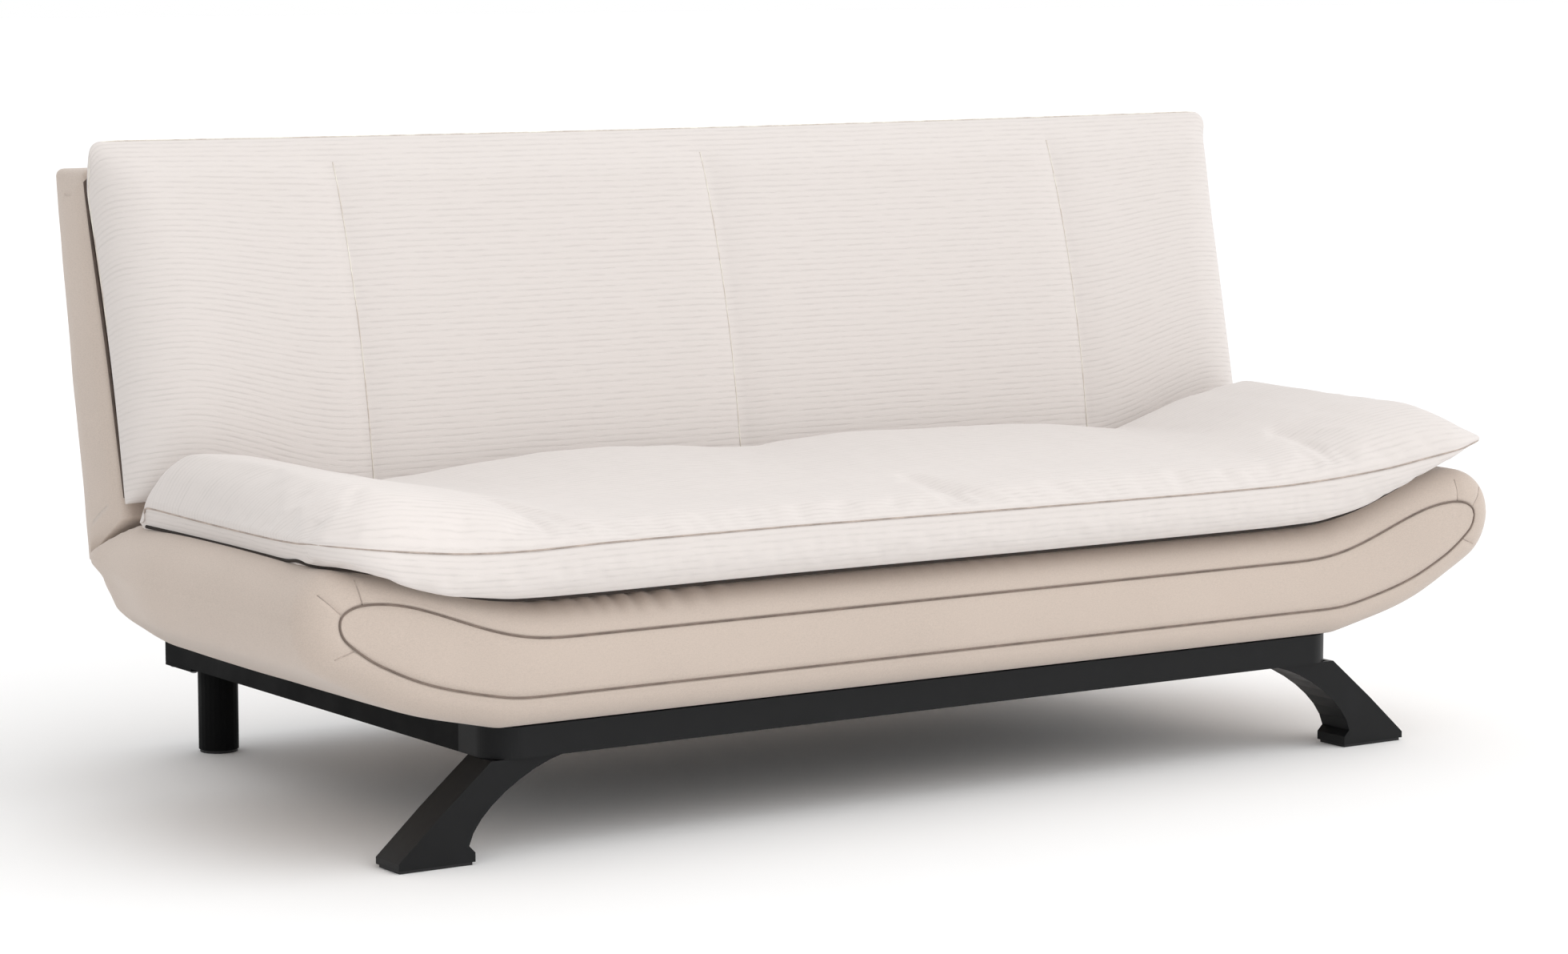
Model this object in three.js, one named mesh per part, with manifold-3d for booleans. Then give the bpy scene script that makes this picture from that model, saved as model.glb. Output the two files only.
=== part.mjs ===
// A click clack sofa bed in its upright place, in millimetres: X to the right, Y to the rear, Z up.
// A boat shaped seat lies on a black steel frame; the back turns down behind it on two ratchet fittings.
import * as THREE from 'three';
import { mergeVertices } from 'three/addons/utils/BufferGeometryUtils.js';
import Module from 'manifold-3d';

const wasm = await Module();
wasm.setup();

// Driving sizes. gap lies between any two pieces that touch; cut is how far a cutter runs past its piece.
const gap = 0.3;
const cut = 10;

// Steel frame
const frameWide = 1408;
const frameDeep = 943;
const legHigh = 131;
const railHigh = 41;
const railWide = 40;
const railWall = 2;
const frameBend = 45;
const frontReturnLong = 90;
const crossWide = 30;

// Legs and glides
const glideHigh = 4;
const frontLegDeep = 60;
const frontLegFront = 6;
const frontLegWall = 3;
const legSplay = 135;
const legTopWide = 113;
const footWide = 111;
const footLip = 9;
const footHigh = 12;
const rearLegRadius = 29;
const rearLegWall = 2.5;
const rearLegInset = 63;
const rearLegFromRear = 41;
const legPlateThick = 4;
const legPlateMargin = 12;

// Seat, shaped like a boat with a round nose at each end
const seatWide = 1960;
const seatThick = 158;
const seatOverhang = 32;
const noseRadius = 62;
const riseEndInset = 90;
const riseLong = 260;
const riseHigh = 66;
const keelRound = 60;
const keelShares = [0.68, 0.495];
const bowAngle = THREE.MathUtils.degToRad(35);
const seatRound = 45;
const sternRound = 60;
const coverThick = 3;
const panelThick = 1.5;

// Back, measured along its own lean
const lean = THREE.MathUtils.degToRad(13.5);
const backFromFront = 530.7;
const backInset = 30;
const backHigh = 545;
const backFootDeep = 137;
const backHeadDeep = 98;
const backClear = 5;
const backRound = 16;
const cornerRearRiseShare = 0.4;

// Hinge: how far the pivot lies behind the back's face and below the seat's top
const pivotDeep = 85.8;
const swingGap = 3;

// Timber and springs
const timber = 25;
const seatTimberHigh = 86;
const seatTimberFront = 58;
const sideTimberInset = 14;
const backTimberDeep = 33;
const backTimberFrom = 55;
const backTimberEdge = 28;
const backTimberHigh = 60;
const backRailHigh = 28;
const springWire = 2;
const springWave = 24;
const springRoom = 10;
const seatSpringShares = [-0.75, -0.3, 0.3, 0.75];
const backSpringShares = [-0.5, 0.12, 0.62];
const clothThick = 1;

// Fitting
const plateThick = 4;
const armThick = 5;
const fittingPlay = 1.2;
const pinRadius = 6;
const pinHead = 10;
const pinHeadThick = 3;
const rimRadius = 40;
const notchDeep = 7;
const notchWide = 13;
const notchStep = THREE.MathUtils.degToRad(25.5);
const notchCount = 4;
const release = THREE.MathUtils.degToRad(5);
const armWide = 30;
const armReach = 165;
const pawlAhead = 47;
const pawlAbove = 38;
const pawlEye = 9;
const pawlBeak = 5;
const pawlClear = 0.5;
const pawlPinRadius = 4;
const pawlSpringThick = 1.2;
const plateShares = [[-1.8, -1], [-0.2, -1], [0.5, -0.45], [0.5, 0.4], [0.1, 0.7], [-0.7, 1.25], [-1.8, 1.25]];
const plateRound = 6;
const screwHole = 3;
const screwShares = [-1.55, -0.95];
const screwHighShares = [-0.6, 0];
const pocketRoom = 8;

// Toppers
const seatPadInset = 25;
const seatPadThick = 100;
const seatPadOverhang = 60;
const seatPadRear = 484;
const seatPadSeam = 68;
const seatPadTipSeam = 42;
const padEdgeWide = 90;
const padEdgeShares = [0, 0.3, 0.6, 0.85, 0.97, 1];
const padTipShare = 0.06;
const seatPadShares = [
  [0.05, 0], [0.3, 0], [0.6, 0], [0.85, 0], [0.965, 0.02], [0.985, 0.25], [1, 0.6], [0.985, 0.86],
  [0.93, 0.98], [0.7, 1], [0.4, 1], [0.2, 0.985], [0.12, 0.95], [0.06, 0.86],
  [0.01, 'seam'], [0, 0.5], [0.005, 0.25], [0.025, 0.05],
];
const seatTuftReachShare = 0.34;
const backPadInset = 21;
const backPadHigh = 576;
const backPadThick = 78;
const backPadEndSeam = 14;
const backPadTopSeam = 39;
const backPadCornerShare = 0.88;
const backPadStart = 24;
const backPadShares = [
  [0, 0.02], [0, 0.3], [0, 0.62], [0, 0.9], [0.2, 0.985], [0.5, 1], [0.82, 0.985], [1, 0.93],
  [1.05, 0.75], [1.05, 0.5], [1, 0.33], [0.85, 0.22], [0.68, 0.14], [0.58, 0.06], [0.45, 0.005], [0.15, 0],
];
const padTuft = 11;
const tuftPlaceShare = 0.648;
const tuftReach = 42;
const tuftShares = [-1, -0.45, -0.15, 0.15, 0.45, 1];

// Rear deck
const deckThick = 18;
const deckRestRadius = 16;
const deckRestInset = 284;

// Places that follow from them
const railTop = legHigh + railHigh;
const seatFloor = railTop + gap;
const seatTop = seatFloor + seatThick;
const seatFront = -seatOverhang;
const noseX = seatWide / 2 - noseRadius;
const riseTo = seatWide / 2 - riseEndInset;
const riseFrom = riseTo - riseLong;
const noseZ = seatTop + riseHigh - noseRadius;
const frameHalf = frameWide / 2;
const sideTimberOut = frameHalf - sideTimberInset;
const pivotY = backFromFront + pivotDeep * (1 - Math.sin(lean)) / Math.cos(lean);
const pivotZ = seatTop - pivotDeep;
const pivotBelow = pivotDeep * (1 - Math.sin(lean)) / Math.cos(lean);
const seatRear = pivotY + pivotBelow + backClear - swingGap;
const backHalf = seatWide / 2 - backInset;
const tuftPlace = (seatWide / 2 - seatPadInset) * tuftPlaceShare;
const whole = new THREE.Vector3(0, (frameDeep - seatPadOverhang) / 2, 0);

// Materials
const finish = (color, roughness, metalness) =>
  new THREE.MeshStandardMaterial({ color, roughness, metalness });
const steelBlack = () => finish(0x1e1f20, 0.45, 0.6);
const steelZinc = () => finish(0x9a9ca0, 0.4, 0.9);
const woodPine = () => finish(0xc9a877, 0.7, 0);
const foamWhite = () => finish(0xece6d2, 0.95, 0);
const fabricBeige = () => finish(0xc9beb1, 0.9, 0);
const fabricCream = () => finish(0xe8e0db, 0.92, 0);
const clothBlack = () => finish(0x232323, 0.95, 0);
const plasticBlack = () => finish(0x18181a, 0.5, 0);
const rubberBlack = () => finish(0x141414, 0.85, 0);

// Solids
function solid(geometry) {
  const bare = geometry.clone();
  bare.deleteAttribute('normal');
  bare.deleteAttribute('uv');
  const merged = mergeVertices(bare, 1e-4);
  const triVerts = new Uint32Array(merged.index.array);
  const vertProperties = merged.attributes.position.array;
  return new wasm.Manifold(new wasm.Mesh({ numProp: 3, vertProperties, triVerts }));
}

function skinned(body) {
  const mesh = body.getMesh();
  const geometry = new THREE.BufferGeometry();
  geometry.setAttribute('position', new THREE.BufferAttribute(new Float32Array(mesh.vertProperties), 3));
  geometry.setIndex(new THREE.BufferAttribute(new Uint32Array(mesh.triVerts), 1));
  const flat = geometry.toNonIndexed();
  flat.computeVertexNormals();
  return flat;
}

const joined = (...bodies) => bodies.reduce((a, b) => a.add(b));
const without = (body, ...cutters) => cutters.reduce((a, b) => a.subtract(b), body);

function block(x0, x1, y0, y1, z0, z1) {
  const box = new THREE.BoxGeometry(x1 - x0, y1 - y0, z1 - z0);
  return solid(box.translate((x0 + x1) / 2, (y0 + y1) / 2, (z0 + z1) / 2));
}

// The outline's two axes and the way it is pushed, for a prism along x, y or z.
const frames = {
  x: [new THREE.Vector3(0, 1, 0), new THREE.Vector3(0, 0, 1), new THREE.Vector3(1, 0, 0)],
  y: [new THREE.Vector3(1, 0, 0), new THREE.Vector3(0, 0, 1), new THREE.Vector3(0, -1, 0)],
  z: [new THREE.Vector3(1, 0, 0), new THREE.Vector3(0, 1, 0), new THREE.Vector3(0, 0, 1)],
};

function prism(points, axis, from, to) {
  const shape = points instanceof THREE.Shape ? points : new THREE.Shape(points);
  const push = new THREE.ExtrudeGeometry(shape, { depth: to - from, bevelEnabled: false, curveSegments: 8 });
  const start = axis === 'y' ? -to : from;
  push.translate(0, 0, start);
  return solid(push.applyMatrix4(new THREE.Matrix4().makeBasis(...frames[axis])));
}

function rod(radius, axis, from, to, a, b, sides = 24) {
  const points = [];
  for (let i = 0; i < sides; i++) {
    const turn = (i + 0.5) / sides * 2 * Math.PI;
    points.push(new THREE.Vector2(a + radius * Math.cos(turn), b + radius * Math.sin(turn)));
  }
  return prism(points, axis, from, to);
}

// A closed outline drawn in by inset, each corner along its own mitre. Its points run counterclockwise.
function drawnIn(points, inset) {
  return points.map((p, i) => {
    const before = points[(i + points.length - 1) % points.length];
    const after = points[(i + 1) % points.length];
    const a = p.clone().sub(before).normalize();
    const b = after.clone().sub(p).normalize();
    const grow = inset / (1 + a.dot(b));
    return new THREE.Vector2(p.x - (a.y + b.y) * grow, p.y + (a.x + b.x) * grow);
  });
}

// A closed skin over rings of equal length. Each end is a ladder between the ring's two halves.
function loft(rings) {
  const n = rings[0].length;
  const last = (rings.length - 1) * n;
  const faces = [];
  for (let r = 0; r + 1 < rings.length; r++) {
    for (let i = 0; i < n; i++) {
      const a = r * n + i;
      const b = r * n + (i + 1) % n;
      faces.push([a, b, a + n], [b, b + n, a + n]);
    }
  }
  for (let i = 0; i < n / 2 - 1; i++) {
    const [a, b, c, d] = [i, i + 1, n - 2 - i, n - 1 - i];
    faces.push([c, b, a], [d, c, a], [last + a, last + b, last + c], [last + a, last + c, last + d]);
  }
  const points = rings.flat();
  const volume = faces.reduce((sum, [a, b, c]) =>
    sum + points[a].dot(new THREE.Vector3().crossVectors(points[b], points[c])), 0);
  const out = volume < 0 ? faces.map(([a, b, c]) => [a, c, b]) : faces;
  const geometry = new THREE.BufferGeometry();
  geometry.setAttribute('position', new THREE.Float32BufferAttribute(points.flatMap(p => p.toArray()), 3));
  geometry.setIndex(out.flat());
  return geometry;
}

// A round wire along a list of points, its section square to the run. up lies square to the wire's plane.
function wire(points, radius, up) {
  const sides = 6;
  return loft(points.map((p, i) => {
    const run = points[Math.min(i + 1, points.length - 1)].clone().sub(points[Math.max(i - 1, 0)]);
    const side = run.cross(up).normalize();
    return Array.from({ length: sides }, (_, k) => {
      const turn = k / sides * 2 * Math.PI;
      return p.clone().addScaledVector(side, radius * Math.cos(turn)).addScaledVector(up, radius * Math.sin(turn));
    });
  }));
}

function arc(x, y, radius, from, to, steps) {
  return Array.from({ length: steps + 1 }, (_, i) => {
    const turn = from + (to - from) * i / steps;
    return new THREE.Vector2(x + radius * Math.cos(turn), y + radius * Math.sin(turn));
  });
}

// An outline whose corners are rounded, each by the same radius.
function rounded(points, radius, steps = 3) {
  return points.flatMap((p, i) => {
    const before = points[(i + points.length - 1) % points.length];
    const after = points[(i + 1) % points.length];
    const a = before.clone().sub(p).setLength(radius).add(p);
    const b = after.clone().sub(p).setLength(radius).add(p);
    return new THREE.QuadraticBezierCurve(a, p, b).getPoints(steps);
  });
}

const root = new THREE.Group();
root.position.sub(whole);
const base = new THREE.Group();
const back = new THREE.Group();
back.position.set(0, backFromFront, seatTop);
back.rotation.x = -lean;
root.add(base, back);

function part(group, name, shape, material) {
  const geometry = shape instanceof THREE.BufferGeometry ? shape : skinned(shape);
  const mesh = new THREE.Mesh(geometry, material);
  mesh.name = name;
  group.add(mesh);
  return mesh;
}

function mirrored(geometry) {
  const other = geometry.clone().scale(-1, 1, 1);
  const p = other.attributes.position;
  for (let i = 0; i < p.count; i += 3) {
    const [x, y, z] = [p.getX(i + 1), p.getY(i + 1), p.getZ(i + 1)];
    p.setXYZ(i + 1, p.getX(i + 2), p.getY(i + 2), p.getZ(i + 2));
    p.setXYZ(i + 2, x, y, z);
  }
  other.computeVertexNormals();
  return other;
}

// The same solid at both sides, modelled at the right, which is +X.
function pair(group, name, shape, material) {
  const right = skinned(shape);
  part(group, `${name}_right`, right, material());
  part(group, `${name}_left`, mirrored(right), material());
}

// The seat's top climbs towards each end by this much, in a few straight steps along a smooth curve.
const outlineSteps = 5;

function rise(x) {
  const climb = THREE.MathUtils.clamp((Math.abs(x) - riseFrom) / (riseTo - riseFrom), 0, 1) * outlineSteps;
  const step = Math.min(Math.floor(climb), outlineSteps - 1);
  const [low, high] = [step, step + 1].map(i => THREE.MathUtils.smoothstep(i / outlineSteps, 0, 1));
  return riseHigh * (low + (high - low) * (climb - step));
}

// The upper half of the right nose, from just above its tip.
function noseTop() {
  return arc(noseX, noseZ, noseRadius, 0, Math.PI / 2, outlineSteps).slice(1);
}

// Seat outline seen from the front, from the left nose tip along the bottom and back along the top.
function seatOutline() {
  const bow = arc(noseX, noseZ, noseRadius, bowAngle - Math.PI / 2, 0, outlineSteps - 1);
  const corner = new THREE.Vector2(frameHalf, seatFloor);
  const [along, up] = keelShares;
  const span = bow[0].clone().sub(corner);
  const bend = new THREE.Vector2(span.x * along, span.y * up).add(corner);
  const start = bend.clone().sub(corner).setLength(keelRound).add(corner);
  const turn = new THREE.QuadraticBezierCurve(new THREE.Vector2(sideTimberOut, seatFloor), corner, start);
  const keel = new THREE.QuadraticBezierCurve(start, bend, bow[0]).getPoints(outlineSteps - 1);
  const bottom = [...turn.getPoints(2).slice(0, -1), ...keel.slice(0, -1), ...bow];
  const top = noseTop();
  for (let i = 0; i <= outlineSteps; i++) {
    const x = riseTo + (riseFrom - riseTo) * i / outlineSteps;
    top.push(new THREE.Vector2(x, seatTop + rise(x)));
  }
  const left = points => points.map(p => new THREE.Vector2(-p.x, p.y)).reverse();
  return [...left(bottom), ...bottom, ...top, ...left(top)];
}

// Height of the seat's top at x, the round noses included.
function topAt(x) {
  const reach = Math.abs(x);
  const nose = noseTop();
  const after = nose.findIndex(p => p.x <= reach);
  if (after < 1) {
    return after === 0 ? nose[0].y : seatTop + rise(x);
  }
  const [from, to] = [nose[after], nose[after - 1]];
  return THREE.MathUtils.mapLinear(reach, from.x, to.x, from.y, to.y);
}

// Places across the width where anything that follows the rise gets a ring.
function stations(end) {
  const right = Array.from({ length: outlineSteps + 1 }, (_, i) => riseFrom + (riseTo - riseFrom) * i / outlineSteps);
  return [-end, ...right.map(x => -x).reverse(), ...right, end];
}

// The back's lowest face at x: its height at the front and rear edge, and its reach from the pivot.
function footFace(x) {
  const front = backClear + rise(x);
  const rear = backClear + rise(x) * cornerRearRiseShare;
  const tilt = Math.atan((front - rear) / backFootDeep);
  const reach = (front + pivotBelow) * Math.cos(tilt) - pivotDeep * Math.sin(tilt);
  return { front, rear, turn: lean + tilt, reach };
}

// The space that the back sweeps at the seat's rear, kept free by a cutter.
function swingCutter(inset) {
  const far = seatThick * 4;
  const near = backFootDeep;
  return solid(loft(stations(seatWide / 2 + cut).map(x => {
    const { turn, reach } = footFace(x);
    const radius = reach - swingGap - inset;
    const forward = turn - release;
    const steps = 8;
    const inner = [];
    const outer = [];
    const add = (y, z, way) => {
      inner.push(new THREE.Vector3(x, y, z));
      outer.unshift(new THREE.Vector3(x, y + far * Math.sin(way), z + far * Math.cos(way)));
    };
    add(pivotY + radius * Math.sin(forward) - near * Math.cos(forward),
      pivotZ + radius * Math.cos(forward) + near * Math.sin(forward), forward);
    for (let i = 0; i <= steps; i++) {
      const way = forward + (Math.PI / 2 - forward) * i / steps;
      add(pivotY + radius * Math.sin(way), pivotZ + radius * Math.cos(way), way);
    }
    add(pivotY + radius, pivotZ - far, Math.PI / 2);
    return [...inner, ...outer];
  })));
}

// The seat's upholstered body, drawn in everywhere by inset.
function seatBody(inset) {
  const outline = seatOutline();
  const ring = (draw, y) => drawnIn(outline, draw).map(p => new THREE.Vector3(p.x, y, p.y));
  const rings = [];
  const steps = 4;
  for (let i = 0; i <= steps; i++) {
    const turn = i / steps * Math.PI / 2;
    const round = seatRound - inset;
    rings.push(ring(inset + round * (1 - Math.sin(turn)), seatFront + inset + round * (1 - Math.cos(turn))));
  }
  for (let i = steps; i >= 0; i--) {
    const turn = i / steps * Math.PI / 2;
    const round = sternRound - inset;
    rings.push(ring(inset + round * (1 - Math.sin(turn)), seatRear - inset - round * (1 - Math.cos(turn))));
  }
  return without(solid(loft(rings)), swingCutter(inset));
}

// The back's upholstered body in its own frame: X, depth from its face, height along its lean.
function backBody(inset) {
  const end = backHalf - inset;
  const round = backRound - inset;
  const steps = 3;
  const places = stations(end - round).slice(1, -1).map(x => [x, inset]);
  for (let i = steps; i >= 0; i--) {
    const turn = i / steps * Math.PI / 2;
    const x = end - round * (1 - Math.cos(turn));
    const draw = inset + round * (1 - Math.sin(turn));
    places.push([x, draw]);
    places.unshift([-x, draw]);
  }
  return solid(loft(places.map(([x, draw]) => {
    const { front, rear } = footFace(x);
    const corners = [[0, front], [backFootDeep, rear], [backHeadDeep, backHigh], [0, backHigh]]
      .map(([y, z]) => new THREE.Vector2(y, z));
    const radius = Math.max(backRound - draw, swingGap);
    return rounded(drawnIn(corners, draw), radius).map(p => new THREE.Vector3(x, p.x, p.y));
  })));
}

// Steel frame: a front tube bent back at both corners, straight rails behind it.
function frame() {
  const low = legHigh;
  const high = railTop;
  const plan = (inset, past) => {
    const outer = frameHalf - inset;
    const inner = frameHalf - railWide + inset;
    const bend = frameBend - inset;
    const turnIn = railWall * 2 + inset;
    const shape = new THREE.Shape();
    shape.moveTo(outer, frontReturnLong + past);
    shape.lineTo(outer, inset + bend);
    shape.absarc(outer - bend, inset + bend, bend, 0, -Math.PI / 2, true);
    shape.lineTo(bend - outer, inset);
    shape.absarc(bend - outer, inset + bend, bend, -Math.PI / 2, -Math.PI, true);
    shape.lineTo(-outer, frontReturnLong + past);
    shape.lineTo(-inner, frontReturnLong + past);
    shape.lineTo(-inner, railWide - inset + turnIn);
    shape.quadraticCurveTo(-inner, railWide - inset, turnIn - inner, railWide - inset);
    shape.lineTo(inner - turnIn, railWide - inset);
    shape.quadraticCurveTo(inner, railWide - inset, inner, railWide - inset + turnIn);
    shape.lineTo(inner, frontReturnLong + past);
    return shape;
  };
  const front = prism(plan(0, 0), 'z', low, high);
  const hollow = prism(plan(railWall, cut), 'z', low + railWall, high - railWall);
  part(base, 'frame_front_rail', without(front, hollow), steelBlack());

  const rail = (x0, x1, y0, y1, open) => {
    const room = block(
      open === 'x' ? x0 - cut : x0 + railWall, open === 'x' ? x1 + cut : x1 - railWall,
      open === 'y' ? y0 - cut : y0 + railWall, y1 - railWall, low + railWall, high - railWall);
    return without(block(x0, x1, y0, y1, low, high), room);
  };
  const inside = frameHalf - railWide;
  pair(base, 'frame_side_rail', rail(inside, frameHalf, frontReturnLong + gap, frameDeep, 'y'), steelBlack);
  const between = inside - gap;
  part(base, 'frame_rear_rail', rail(-between, between, frameDeep - railWide, frameDeep, 'x'), steelBlack());
  const crossRear = seatTimberFront + seatTimberDeep;
  part(base, 'frame_cross_rail', rail(-between, between, crossRear - crossWide, crossRear, 'x'), steelBlack());
}

// Sabre leg seen from the front: a hollow pressing, open at the top, with a lip round its foot.
function frontLegs() {
  const top = legHigh - gap;
  const low = glideHigh + gap;
  const toe = frameHalf + legSplay;
  const heel = toe - footWide;
  const inner = frameHalf - legTopWide + footLip / 2;
  const waist = heel + footLip;
  const arch = new THREE.CubicBezierCurve(
    new THREE.Vector2(waist, low + footHigh + footLip), new THREE.Vector2(waist - footLip, (top + low) / 2),
    new THREE.Vector2(inner + legTopWide / 2, top - footHigh), new THREE.Vector2(inner, top));
  const outline = [
    new THREE.Vector2(heel, low), new THREE.Vector2(toe, low), new THREE.Vector2(toe, low + footLip),
    new THREE.Vector2((toe + frameHalf) / 2 + footLip / 4, (top + low + footLip) / 2),
    new THREE.Vector2(frameHalf, top),
    ...arch.getPoints(8).reverse(), new THREE.Vector2(heel, low + footHigh),
  ];
  const rear = frontLegFront + frontLegDeep;
  const skin = prism(outline, 'y', frontLegFront, rear);
  const hollow = prism(drawnIn(outline, frontLegWall), 'y', frontLegFront + frontLegWall, rear - frontLegWall);
  const mouth = block(frameHalf - legTopWide / 2, frameHalf - frontLegWall * 3,
    frontLegFront + frontLegWall, rear - frontLegWall, top - frontLegWall * 3, top + cut);
  pair(base, 'front_leg', without(skin, hollow, mouth), steelBlack);
  const edge = frontLegWall;
  pair(base, 'front_glide', block(heel + edge, toe - edge, frontLegFront + edge, rear - edge, 0, glideHigh), plasticBlack);
}

// Round tube leg under a flange that spans the corner of the frame.
function rearLegs() {
  const x = frameHalf - rearLegInset;
  const y = frameDeep - rearLegFromRear;
  const flangeLow = legHigh - gap - legPlateThick;
  const half = rearLegRadius + legPlateMargin;
  pair(base, 'rear_leg_flange', block(x - half, frameHalf, y - half, frameDeep, flangeLow, legHigh - gap), steelBlack);
  const low = glideHigh + gap;
  const tube = without(rod(rearLegRadius, 'z', low, flangeLow - gap, x, y),
    rod(rearLegRadius - rearLegWall, 'z', low - cut, flangeLow + cut, x, y));
  pair(base, 'rear_leg', tube, steelBlack);
  const plug = rod(rearLegRadius - rearLegWall - gap, 'z', glideHigh / 2, glideHigh * 4, x, y);
  pair(base, 'rear_glide', joined(rod(rearLegRadius - railWall, 'z', 0, glideHigh, x, y), plug), plasticBlack);
}

// A zigzag spring between two rails, its ends lying on them, bowed a little at its middle.
function waveSpring(from, to, up, at) {
  const waves = 10;
  const perWave = 4;
  const points = [];
  for (let i = 0; i <= waves * perWave; i++) {
    const along = i / (waves * perWave);
    const swing = springWave * Math.sin(i / perWave * Math.PI);
    points.push(at(from + (to - from) * along, swing, Math.sin(along * Math.PI) * springWire * 2));
  }
  return wire(points, springWire, up);
}

const seatTimberDeep = pivotY - timber / 4 - seatTimberFront;
const seatTimberLow = seatFloor + coverThick + gap;
const seatTimberTop = seatTimberLow + seatTimberHigh;
const seatTimberRear = seatTimberFront + seatTimberDeep;

function seatTimbers() {
  const side = sideTimberOut - timber;
  const end = side - gap;
  const [front, rear, low, high] = [seatTimberFront, seatTimberRear, seatTimberLow, seatTimberTop];
  part(base, 'seat_front_rail', block(-end, end, front, front + timber, low, high), woodPine());
  part(base, 'seat_rear_rail', block(-end, end, rear - timber, rear, low, high), woodPine());
  pair(base, 'seat_side_rail', block(side, sideTimberOut, front, rear, low, high), woodPine);
  const inFront = front + timber + gap;
  const half = timber / 2;
  part(base, 'seat_middle_rail', block(-half, half, inFront, rear - timber - gap, low, high), woodPine());
  seatSpringShares.forEach((share, i) => {
    const lie = high + gap + springWire;
    const up = new THREE.Vector3(0, 0, 1);
    const spring = waveSpring(front + timber / 2, rear - timber / 2, up,
      (along, swing, bow) => new THREE.Vector3(side * share + swing, along, lie + bow));
    part(base, `seat_spring_${i + 1}`, spring, steelZinc());
  });
}

// Fitting pocket in the foam and the narrow slot that the arm swings in.
const armIn = sideTimberOut + gap + plateThick + fittingPlay;
const armOut = armIn + armThick;
const pawlY = pivotY - pawlAhead;
const pawlZ = pivotZ + pawlAbove;

function armSlot() {
  const side = fittingPlay;
  const reach = seatThick * 2;
  const sweep = arc(pivotY, pivotZ, reach, -lean, Math.PI / 2 + lean, 8);
  const heel = new THREE.Vector2(pivotY - armWide / 2 - swingGap, pivotZ - armWide);
  return prism([heel, ...sweep], 'x', armIn - side, armOut + side);
}

function fittingPocket() {
  const ahead = pivotY + plateShares[0][0] * pawlAhead - gap;
  const behind = pivotY + armWide;
  const below = pivotZ - rimRadius - pocketRoom;
  const above = pawlZ + pawlEye + pocketRoom;
  const out = armOut + pinHeadThick + pocketRoom;
  return block(sideTimberOut - gap, out, ahead, behind, below, above);
}

function seatSoft() {
  const [front, rear] = [seatTimberFront - gap, seatTimberRear + gap];
  const half = sideTimberOut + gap;
  const room = block(-half, half, front, rear, seatFloor - cut, seatTimberTop + springRoom);
  const slot = armSlot();
  const slots = [slot, fittingPocket()].map(skinned).flatMap(g => [solid(g), solid(mirrored(g))]);
  const foam = without(seatBody(coverThick + gap), room, ...slots);
  part(base, 'seat_foam', foam, foamWhite());

  const side = sideTimberOut - timber * 2;
  const [inFront, inRear] = [front + timber * 2, rear - timber * 2];
  const window = block(-side, side, inFront, inRear, seatFloor - cut, seatFloor + coverThick + cut);
  const armSlots = [solid(skinned(slot)), solid(mirrored(skinned(slot)))];
  part(base, 'seat_cover', without(seatBody(0), seatBody(coverThick), window, ...armSlots), fabricBeige());

  const low = seatFloor + coverThick - clothThick;
  const cloth = block(gap - side, side - gap, inFront + gap, inRear - gap, low, low + clothThick);
  part(base, 'seat_dust_cloth', cloth, clothBlack());

  const oval = drawnIn(seatOutline(), seatRound + gap);
  part(base, 'seat_front_panel', prism(oval, 'y', seatFront - gap - panelThick, seatFront - gap), fabricBeige());
}

// Low panel behind the seat, wrapped in the cover's fabric, with two rests for the flat back.
function rearDeck() {
  const top = seatFloor + deckThick;
  const under = sternRound - deckThick;
  const front = seatRear - sternRound + Math.sqrt(sternRound ** 2 - under ** 2) + gap * 2;
  const rear = frameDeep;
  const half = frameHalf - railWide / 2;
  part(base, 'rear_deck', block(-half, half, front, rear, seatFloor, top), fabricBeige());
  const y = frameDeep - railWide / 2 - deckRestRadius;
  const landing = seatTop - backThickAt(y - pivotY - pivotBelow);
  const place = frameHalf - deckRestInset;
  for (const [side, x] of [['left', -place], ['right', place]]) {
    part(base, `deck_rest_${side}`, rod(deckRestRadius, 'z', top + gap, landing - swingGap / 2, x, y), rubberBlack());
  }
}

// The back's thickness at a height along its face.
function backThickAt(high) {
  const { rear } = footFace(0);
  return backFootDeep + (backHeadDeep - backFootDeep) * (high - rear) / (backHigh - rear);
}

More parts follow.
